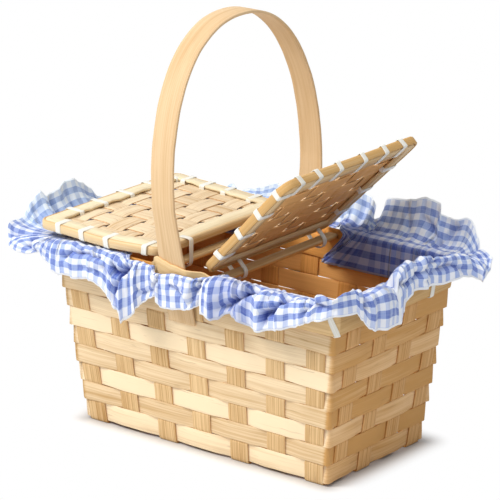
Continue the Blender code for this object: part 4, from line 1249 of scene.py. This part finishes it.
def ruffle_shade(s, y, fold, drop, inner, outer):
    """How deep in shadow and how washed out by light each point is, both from 0 to 1."""
    standing = within(s, STANDING_LOBES)[:, None]
    on_back = ramp(y, BACK_WALL_FROM, BACK_WALL_TO)[:, None]
    behind_lid, steep = within(s, BEHIND_LEFT_LID)[:, None], within(s, STEEP_FRONT)[:, None]
    deep = ramp(-fold, 1.5 * MM, 9.0 * MM) * (1 - 0.65 * standing)
    for least in (
        0.75 * on_back * (1 - drop) * ramp(inner, 0.05, 0.4),
        0.6 * behind_lid * ramp(outer, 0.5, 0.2),
        0.45 * steep * ramp(outer, 0.1, 0.3),
    ):
        deep = np.maximum(deep, least)
    washed = standing * mix(0.4, 1.0, ramp(s, *WASHED_MORE))[:, None]
    return deep, washed * ramp(outer, 0.2, 0.6) * (1 - deep)


def edge_distance(along, across, s, outer):
    """Distance of each point to the nearest hem, end or seam of the cloth."""
    to_side = np.minimum(across, across.max() - across)
    edge = np.minimum(to_side, np.minimum(along, along.max() - along))
    for seam in SEAM_PLACES:
        near_seam = np.abs(s[:, None] - seam) * MM + np.where(outer > 0.25, 0.3 * MM, 1.0)
        edge = np.minimum(edge, near_seam)
    return edge


def make_ruffle(material):
    """The ruffle: a profile from inner hem over the rim to outer hem, carried round and folded.

    Each point of ruffle_profile moves along the profile's normal by ruffle_folds. It is then held
    clear of the rim, the loop and the closed right lid.
    """
    place, cloth, total = ruffle_columns(RUFFLE_COLUMNS)
    centre, outward, forward, _ = rim_frame(place)
    s = np.mod(place, total)
    steps = np.linspace(0.0, 1.0, INNER_ROWS)
    t = np.linspace(0.0, 1.0, OUTER_ROWS + 1)[1:]
    inner, outer = np.concatenate([1 - steps, t * 0.0]), np.concatenate([steps * 0.0, t])
    out, z, drop, flap = ruffle_profile(place, total, centre, outward, steps, t)
    slope_out, slope_z = np.gradient(out, axis=1), np.gradient(z, axis=1)
    size = np.hypot(slope_out, slope_z) + 1e-9
    fold, sway = ruffle_folds(s, cloth, z, drop, inner, outer)
    deep, washed = ruffle_shade(s, centre[:, 1], fold, drop, inner, outer)

    out = out - fold * slope_z / size
    z = z + fold * slope_out / size
    clear = mix(CLEAR_OF_RIM, CLEAR_BELOW, ramp(z, CLEAR_FROM_Z, CLEAR_TO_Z))
    clear = mix(clear, CLEAR_OF_LOOP, drop)
    out = np.where(outer > 0.1, np.maximum(out, clear), out)
    swing = ramp(centre[:, 0], BACK_FLAP_STILL, BACK_FLAP_FREE)[:, None]
    sway[:, :INNER_ROWS] += BACK_FLAP_SWAY * flap * swing
    flat = centre[:, None] + outward[:, None] * out[..., None] + forward[:, None] * sway[..., None]
    past_lid = np.maximum(np.abs(flat[..., 1]) - CLOSED_LID_Y, flat[..., 0] - CLOSED_LID_X)
    ceiling = CLOSED_LID_Z + CLOSED_LID_SLOPE * np.maximum(past_lid, 0.0)
    z = mix(z, np.minimum(z, ceiling), within(s, UNDER_RIGHT_LID)[:, None])
    points = np.concatenate([flat, z[..., None]], axis=-1)

    widths = np.linalg.norm(np.diff(points, axis=1), axis=2)
    down = np.concatenate([[0.0], np.cumsum(np.median(widths, axis=0))])
    along, across = uv_grid(run_length(points[:, -1]), down, 0)
    turn = eased(s, STRIPE_TURNS[:, 0], STRIPE_TURNS[:, 1])[:, None]
    marks = [("edge", edge_distance(along, across, s, outer)), ("deep", deep), ("turn", turn),
             ("washed", washed)]
    obj = surface("gingham_ruffle", points, along, across, material, marks=marks)
    thick = obj.modifiers.new("thickness", "SOLIDIFY")
    thick.thickness = CLOTH_THICK
    thick.offset = 0.0
    stand_for(obj, "basket", "cloth", "ruffle")


# Materials


def put(tree, socket, value):
    """Gives an input another node's output, a number, or a colour or direction of three numbers."""
    if isinstance(value, bpy.types.NodeSocket):
        tree.links.new(value, socket)
    elif socket.type == "RGBA":
        socket.default_value = (*value, 1.0)
    else:
        socket.default_value = value


def node_of(tree, kind, **values):
    """A node of that kind, with its settings and its inputs by name."""
    node = tree.nodes.new(kind)
    for name, value in values.items():
        if hasattr(node, name):
            setattr(node, name, value)
        else:
            put(tree, node.inputs[name.replace("_", " ")], value)
    return node


def maths(tree, operation, a, b=0.0):
    """A sum, product or the like of two outputs or numbers."""
    node = node_of(tree, "ShaderNodeMath", operation=operation)
    put(tree, node.inputs[0], a)
    put(tree, node.inputs[1], b)
    return node.outputs[0]


def colour_mix(tree, share, a, b, blend="MIX"):
    """Two colours mixed by a share. Each is an output or three numbers."""
    node = node_of(tree, "ShaderNodeMix", data_type="RGBA", blend_type=blend)
    for number, value in ((0, share), (6, a), (7, b)):
        put(tree, node.inputs[number], value)
    return node.outputs[2]


def stretch(tree, share, low, high, out_low=0.0, out_high=1.0, curve="SMOOTHSTEP"):
    """A value taken from one range to another, held at its ends."""
    node = node_of(tree, "ShaderNodeMapRange", interpolation_type=curve, Value=share, From_Min=low,
                   From_Max=high, To_Min=out_low, To_Max=out_high)
    return node.outputs["Result"]


def noise(tree, vector, scale_along, scale_across, detail=2.0, distortion=0.0):
    """Noise on the strip's UV map, drawn out along the strip."""
    place = node_of(tree, "ShaderNodeMapping", Scale=(scale_along, scale_across, 1.0), Vector=vector)
    node = node_of(tree, "ShaderNodeTexNoise", Scale=1.0, Detail=detail, Distortion=distortion,
                   Vector=place.outputs["Vector"])
    return node.outputs["Fac"]


def uv_of(tree):
    """The piece's own UV map, in metres along and across it."""
    return node_of(tree, "ShaderNodeUVMap", uv_map="UVMap").outputs["UV"]


def mark_of(tree, name):
    """One of the marks that the piece's points carry."""
    return node_of(tree, "ShaderNodeAttribute", attribute_name=name).outputs["Fac"]


def new_material(name):
    """A material, its node tree and its Principled shader."""
    material = bpy.data.materials.new(name)
    material.use_nodes = True
    return material, material.node_tree, material.node_tree.nodes["Principled BSDF"]


def finish_shader(tree, shader, height, bump, reach, **looks):
    """Gives a shader its fine bump and the rest of its inputs by name."""
    bumped = node_of(tree, "ShaderNodeBump", Strength=bump, Distance=reach, Height=height)
    put(tree, shader.inputs["Normal"], bumped.outputs["Normal"])
    for name, value in looks.items():
        put(tree, shader.inputs[name.replace("_", " ")], value)


GRAIN_COLOURS = {"Pale": (0.8, 0.6, 0.35), "Dark": (0.5, 0.3, 0.1), "Deep": (0.2, 0.1, 0.04)}
# The last share mixes in painted shade: a paler body tinted orange-brown by the tint below
GRAIN_SHARES = {"Striation": 0.5, "Streak": 0.5, "Hairline": 0.3, "Tone": 0.5, "Inside": 0.0}
WARM_SHADE_TINT = (1.0, 0.66, 0.33)


def wood_grain_group():
    """Fibres of a split wood strip: fine striations, broad streaks, dark hairlines, its lightness and a
    painted orange-brown shade.
    """
    tree = bpy.data.node_groups.new("Splint grain", "ShaderNodeTree")
    face = tree.interface
    for name, value in GRAIN_COLOURS.items():
        socket = face.new_socket(name, in_out="INPUT", socket_type="NodeSocketColor")
        socket.default_value = (*value, 1.0)
    for name, value in GRAIN_SHARES.items():
        socket = face.new_socket(name, in_out="INPUT", socket_type="NodeSocketFloat")
        socket.default_value = value
    for name, kind in (("Color", "Color"), ("Height", "Float"), ("Roughness", "Float")):
        face.new_socket(name, in_out="OUTPUT", socket_type=f"NodeSocket{kind}")
    given = tree.nodes.new("NodeGroupInput").outputs
    result = tree.nodes.new("NodeGroupOutput").inputs
    uv = uv_of(tree)
    fibre = noise(tree, uv, 22.0, 1900.0, 3.0)
    rib = noise(tree, uv, 5.0, 820.0, 2.0)
    streak = noise(tree, uv, 9.0, 150.0, 2.0, 0.4)
    patch = noise(tree, uv, 14.0, 38.0, 2.0)
    hair = noise(tree, uv, 30.0, 480.0, 1.0, 0.8)
    shade = 0.1
    for part, strength in (
        (stretch(tree, rib, 0.42, 0.62), given["Striation"]),
        (stretch(tree, streak, 0.4, 0.75), given["Streak"]),
        (stretch(tree, fibre, 0.3, 0.8), 0.12),
        (maths(tree, "SUBTRACT", 0.5, given["Tone"]), 0.9),
        (maths(tree, "SUBTRACT", patch, 0.5), 0.5),
    ):
        shade = maths(tree, "ADD", shade, maths(tree, "MULTIPLY", part, strength))
    held = node_of(tree, "ShaderNodeClamp", Value=shade).outputs[0]
    thin = maths(tree, "MULTIPLY", stretch(tree, hair, 0.66, 0.74), given["Hairline"])
    body = colour_mix(tree, held, given["Pale"], given["Dark"])
    body = colour_mix(tree, thin, body, given["Deep"])
    # Painted shade: a paler body tinted orange-brown, for faces that lie in shade
    paler = colour_mix(tree, 0.5, body, given["Pale"])
    glow = colour_mix(tree, 1.0, paler, WARM_SHADE_TINT, "MULTIPLY")
    put(tree, result["Color"], colour_mix(tree, given["Inside"], body, glow))
    lines = maths(tree, "ADD", maths(tree, "MULTIPLY", fibre, 0.35), maths(tree, "MULTIPLY", rib, 0.65))
    put(tree, result["Height"], maths(tree, "SUBTRACT", lines, maths(tree, "MULTIPLY", thin, 0.5)))
    put(tree, result["Roughness"], stretch(tree, streak, 0.2, 0.8, 0.5, 0.68))
    return tree


# Pale, dark and hairline colours of each wood, then the strengths of its striations, streaks,
# hairlines and bump, and of the painted orange-brown shade on its inner face and other shaded stretches
BROWN_HAIR = (0.3, 0.16, 0.06)
WOODS = {
    "weaver splint": (
        (0.91, 0.73, 0.49), (0.50, 0.295, 0.11), (0.26, 0.13, 0.045), 0.2, 0.3, 0.3, 0.25, 1.0,
    ),
    "stake splint": (
        (0.77, 0.55, 0.30), (0.46, 0.26, 0.095), (0.22, 0.11, 0.035), 0.6, 0.25, 0.3, 0.5, 1.0,
    ),
    "rim wood": (
        (0.80, 0.58, 0.31), (0.55, 0.33, 0.13), (0.22, 0.11, 0.04), 0.3, 0.4, 0.3, 0.3, 1.0,
    ),
    "handle wood": (
        (0.73, 0.53, 0.32), (0.56, 0.35, 0.165), BROWN_HAIR, 0.3, 0.3, 0.12, 0.25, 0.0,
    ),
    "lid border wood": (
        (0.86, 0.69, 0.44), (0.62, 0.37, 0.14), BROWN_HAIR, 0.25, 0.35, 0.2, 0.25, 0.0,
    ),
    "lid top wood": (
        (0.82, 0.70, 0.48), (0.60, 0.41, 0.20), BROWN_HAIR, 0.25, 0.35, 0.3, 0.25, 0.0,
    ),
    "lid panel splint": (
        (0.82, 0.66, 0.45), (0.54, 0.34, 0.16), (0.24, 0.12, 0.045), 0.4, 0.35, 0.5, 0.35, 0.9,
    ),
}  # fmt: skip


def wood_material(name, group):
    """A wood finish: the grain group's colour, roughness and fine bump on a Principled shader."""
    pale, dark, deep, striation, streak, hairline, bump, warm_shade_strength = WOODS[name]
    material, tree, shader = new_material(name)
    # Painted shade: the inside mark times this wood's share tints shaded faces orange-brown
    warm_shade = maths(tree, "MULTIPLY", mark_of(tree, "inside"), warm_shade_strength)
    grain = node_of(tree, "ShaderNodeGroup", node_tree=group)
    for socket, value in (
        ("Pale", pale), ("Dark", dark), ("Deep", deep), ("Striation", striation), ("Streak", streak),
        ("Hairline", hairline), ("Tone", mark_of(tree, "tone_and_shade")), ("Inside", warm_shade),
    ):  # fmt: skip
        put(tree, grain.inputs[socket], value)
    given = grain.outputs
    finish_shader(tree, shader, given["Height"], bump, 0.25 * MM, Base_Color=given["Color"],
                  Roughness=given["Roughness"], Specular_IOR_Level=0.12)
    return material


TIE_DARK, TIE_PALE = (0.73, 0.70, 0.62), (0.87, 0.85, 0.78)


def tie_material():
    """Off-white binding strip with a slight gloss and faint lengthwise lines."""
    material, tree, shader = new_material("binding strip")
    lines = noise(tree, uv_of(tree), 20.0, 900.0, 2.0)
    colour = colour_mix(tree, stretch(tree, lines, 0.3, 0.7), TIE_DARK, TIE_PALE)
    finish_shader(tree, shader, lines, 0.3, 0.2 * MM, Base_Color=colour,
                  Roughness=stretch(tree, lines, 0.2, 0.8, 0.32, 0.5))
    return material


CHECK = 5.3 * MM
CHECK_SOFT = 0.16
THREAD = 0.5 * MM
HEM_FROM, HEM_TO = 1.2 * MM, 1.9 * MM
BLUE = (0.10, 0.175, 0.54)
PALE_BLUE = (0.37, 0.48, 0.81)
WHITE = (0.84, 0.86, 0.93)
SLUB_WHITE = (0.93, 0.94, 0.97)
HEM_WHITE = (0.9, 0.92, 0.96)
SHADOW_TINT = (0.24, 0.29, 0.55)
WEAK_STRIPE = 0.5
# Light shines through the standing lobes, so their colours look paler
WASHED_OUT = 0.3
WASHED_TINT = (0.66, 0.86, 1.0)


def stripes(tree, value):
    """1 on one half of each pair of stripes and 0 on the other, with a soft edge, from a length."""
    wave = maths(tree, "SINE", maths(tree, "MULTIPLY", value, math.pi / CHECK))
    return stretch(tree, wave, -CHECK_SOFT, CHECK_SOFT)


def cloth_material():
    """Gingham: blue where both sets of threads are blue, pale blue where one is, a white hem."""
    material, tree, shader = new_material("gingham cotton")
    uv = uv_of(tree)
    along, across = node_of(tree, "ShaderNodeSeparateXYZ", Vector=uv).outputs[:2]
    turn = mark_of(tree, "turn")
    warp = maths(tree, "MULTIPLY", stripes(tree, along), stretch(tree, turn, 0.0, 1.0, 1.0, WEAK_STRIPE))
    weft = maths(tree, "MULTIPLY", stripes(tree, across), stretch(tree, turn, 0.0, 1.0, WEAK_STRIPE, 1.0))
    blue = maths(tree, "DIVIDE", maths(tree, "ADD", warp, weft), 1 + WEAK_STRIPE)
    colour = colour_mix(tree, stretch(tree, blue, 0.0, 0.5, curve="LINEAR"), WHITE, PALE_BLUE)
    colour = colour_mix(tree, stretch(tree, blue, 0.5, 1.0, curve="LINEAR"), colour, BLUE)
    slub = maths(tree, "ADD", noise(tree, uv, 60.0, 1900.0), noise(tree, uv, 1900.0, 60.0))
    colour = colour_mix(tree, stretch(tree, slub, 0.7, 1.35, 0.0, 0.22), colour, SLUB_WHITE)
    hem = stretch(tree, mark_of(tree, "edge"), HEM_FROM, HEM_TO, 1.0, 0.0)
    colour = colour_mix(tree, hem, colour, HEM_WHITE)
    washed = maths(tree, "MULTIPLY", mark_of(tree, "washed"), WASHED_OUT)
    colour = colour_mix(tree, washed, colour, WASHED_TINT)
    shaded = colour_mix(tree, 1.0, colour, SHADOW_TINT, "MULTIPLY")
    colour = colour_mix(tree, mark_of(tree, "deep"), colour, shaded)
    turns = 2 * math.pi / THREAD
    threads = [maths(tree, "SINE", maths(tree, "MULTIPLY", way, turns)) for way in (along, across)]
    height = maths(tree, "ADD", maths(tree, "MULTIPLY", *threads), slub)
    finish_shader(tree, shader, height, 0.35, 0.15 * MM, Base_Color=colour, Roughness=0.9,
                  Specular_IOR_Level=0.15, Sheen_Weight=0.25, Sheen_Roughness=0.5)
    return material


# Stage, light and camera
FLOOR_REACH = 6.0
FLOOR_WHITE, FLOOR_CONTACT = (0.94, 0.94, 0.94), (0.6, 0.58, 0.56)
# How far from the basket's foot the contact shade ends, and where only plain white is left
CONTACT_FADE, FLOOR_FADE = 22.0 * MM, 30.0 * MM
WORLD_STRENGTH, WORLD_COLOUR = 0.51, (0.93, 0.965, 1.0)
LAMP_TARGET = Vector((0.0, 0.0, 0.12))
# Place, width in metres, power in watts and colour
LAMPS = {
    "key": ((-1.1, -1.5, 2.0), 0.9, 46.0, (1.0, 0.985, 0.96)),
    "top": ((0.35, -0.85, 2.3), 1.2, 21.0, (1.0, 0.99, 0.97)),
    "fill": ((1.9, -1.0, 0.7), 1.4, 0.3, (1.0, 0.86, 0.7)),
}
CAMERA_YAW = 37.97
CAMERA_PITCH = 17.6
CAMERA_ROLL = -0.16
CAMERA_DISTANCE = 3.119
CAMERA_TARGET = (-0.1541, 0.1884, 0.1)
CAMERA_LENS = 226.4
CAMERA_SHIFT = (0.0058, -0.0058)
CAMERA_SENSOR = 36.0
CAMERA_CLIP = (0.1, 50.0)


def seen_share(tree):
    """1 for rays from the camera, off a gloss or through glass, and 0 for the light on the pieces."""
    rays = node_of(tree, "ShaderNodeLightPath").outputs
    seen = maths(tree, "MAXIMUM", rays["Is Camera Ray"], rays["Is Glossy Ray"])
    return maths(tree, "MAXIMUM", seen, rays["Is Transmission Ray"])


def mix_shaders(tree, share, first, second, output):
    """Sends a mix of two shader nodes to the tree's output node."""
    both = tree.nodes.new("ShaderNodeMixShader")
    for number, value in enumerate((share, first.outputs[0], second.outputs[0])):
        put(tree, both.inputs[number], value)
    put(tree, tree.nodes[output].inputs["Surface"], both.outputs[0])


def foot_distance(tree):
    """Distance on the floor from the basket's rectangular foot: length of max(|place| - foot, 0)."""
    place = node_of(tree, "ShaderNodeTexCoord").outputs["Object"]
    nothing, foot = (0.0, 0.0, 0.0), (BASE_HALF_LENGTH, BASE_HALF_WIDTH, 0.0)
    for operation, other in (("ABSOLUTE", nothing), ("SUBTRACT", foot), ("MAXIMUM", nothing)):
        step = node_of(tree, "ShaderNodeVectorMath", operation=operation)
        put(tree, step.inputs[0], place)
        put(tree, step.inputs[1], other)
        place = step.outputs["Vector"]
    length = node_of(tree, "ShaderNodeVectorMath", operation="LENGTH")
    put(tree, length.inputs[0], place)
    return length.outputs["Value"]


def make_floor():
    """A large pale floor, darker at the basket's foot, that fades to the white of the background."""
    corners = [(x * FLOOR_REACH, y * FLOOR_REACH, 0) for x, y in ((-1, -1), (1, -1), (1, 1), (-1, 1))]
    mesh = bpy.data.meshes.new("floor")
    mesh.from_pydata(corners, [], [(0, 1, 2, 3)])
    new_object("floor", mesh)
    material, tree, shader = new_material("white floor")
    away = foot_distance(tree)
    near = stretch(tree, away, 0.0, CONTACT_FADE)
    put(tree, shader.inputs["Base Color"], colour_mix(tree, near, FLOOR_CONTACT, FLOOR_WHITE))
    put(tree, shader.inputs["Roughness"], 0.9)
    put(tree, shader.inputs["Specular IOR Level"], 0.0)
    glow = node_of(tree, "ShaderNodeEmission", Strength=1.0)
    fade = maths(tree, "MULTIPLY", stretch(tree, away, 0.0, FLOOR_FADE), seen_share(tree))
    mix_shaders(tree, fade, shader, glow, "Material Output")
    mesh.materials.append(material)


def make_world():
    """A world that looks white and lights the pieces with a soft cool white."""
    world = bpy.data.worlds.new("studio")
    world.use_nodes = True
    bpy.context.scene.world = world
    tree = world.node_tree
    shown = tree.nodes["Background"]
    put(tree, shown.inputs["Color"], (1.0, 1.0, 1.0))
    soft = node_of(tree, "ShaderNodeBackground", Strength=WORLD_STRENGTH, Color=WORLD_COLOUR)
    mix_shaders(tree, seen_share(tree), soft, shown, "World Output")


def make_lamps():
    """Square soft lamps, all aimed at the middle of the basket."""
    for name, (place, width, power, colour) in LAMPS.items():
        data = bpy.data.lights.new(name, "AREA")
        data.shape = "SQUARE"
        data.size = width
        data.energy = power
        data.color = colour
        lamp = new_object(name, data)
        lamp.location = place
        lamp.rotation_euler = (LAMP_TARGET - Vector(place)).to_track_quat("-Z", "Y").to_euler()


def make_camera():
    """The camera stands at the photograph's yaw, pitch and distance from its target."""
    yaw, pitch = math.radians(CAMERA_YAW), math.radians(CAMERA_PITCH)
    level = math.cos(pitch)
    back = Vector((math.sin(yaw) * level, -math.cos(yaw) * level, math.sin(pitch)))
    data = bpy.data.cameras.new("camera")
    data.sensor_width = CAMERA_SENSOR
    data.lens = CAMERA_LENS
    data.shift_x, data.shift_y = CAMERA_SHIFT
    data.clip_start, data.clip_end = CAMERA_CLIP
    camera = new_object("camera", data)
    camera.location = Vector(CAMERA_TARGET) + back * CAMERA_DISTANCE
    turn = (-back).to_track_quat("-Z", "Y").to_matrix().to_4x4()
    roll = Matrix.Rotation(math.radians(-CAMERA_ROLL), 4, "Z")
    camera.rotation_euler = (turn @ roll).to_euler()
    bpy.context.scene.camera = camera


bpy.context.scene.view_settings.view_transform = "Standard"
make_camera()
grain_group = wood_grain_group()
woods = {name: wood_material(name, grain_group) for name in WOODS}
tie_strip = tie_material()
gingham = cloth_material()

make_stakes(woods["stake splint"])
for woven_row in range(ROWS):
    make_weaver(woven_row, woods["weaver splint"])
make_band("outer_band", "outer_rim_band", BAND_BOTTOM_Z, OUTER_BAND_TOP_Z,
          BAND_GAP + OUTER_BAND_THICK / 2, OUTER_BAND_THICK, True, woods["rim wood"], SEEDS["outer_band"])
make_band("inner_band", "inner_rim_band", BAND_BOTTOM_Z, INNER_BAND_TOP_Z,
          -BAND_GAP - INNER_BAND_THICK / 2, INNER_BAND_THICK, False, woods["rim wood"], SEEDS["inner_band"])
make_handle(woods["handle wood"])
make_bars(woods["rim wood"])
make_lids(woods["lid border wood"], woods["lid top wood"], woods["lid panel splint"], tie_strip)
make_rim_ties(tie_strip)
make_ruffle(gingham)
make_floor()
make_world()
make_lamps()
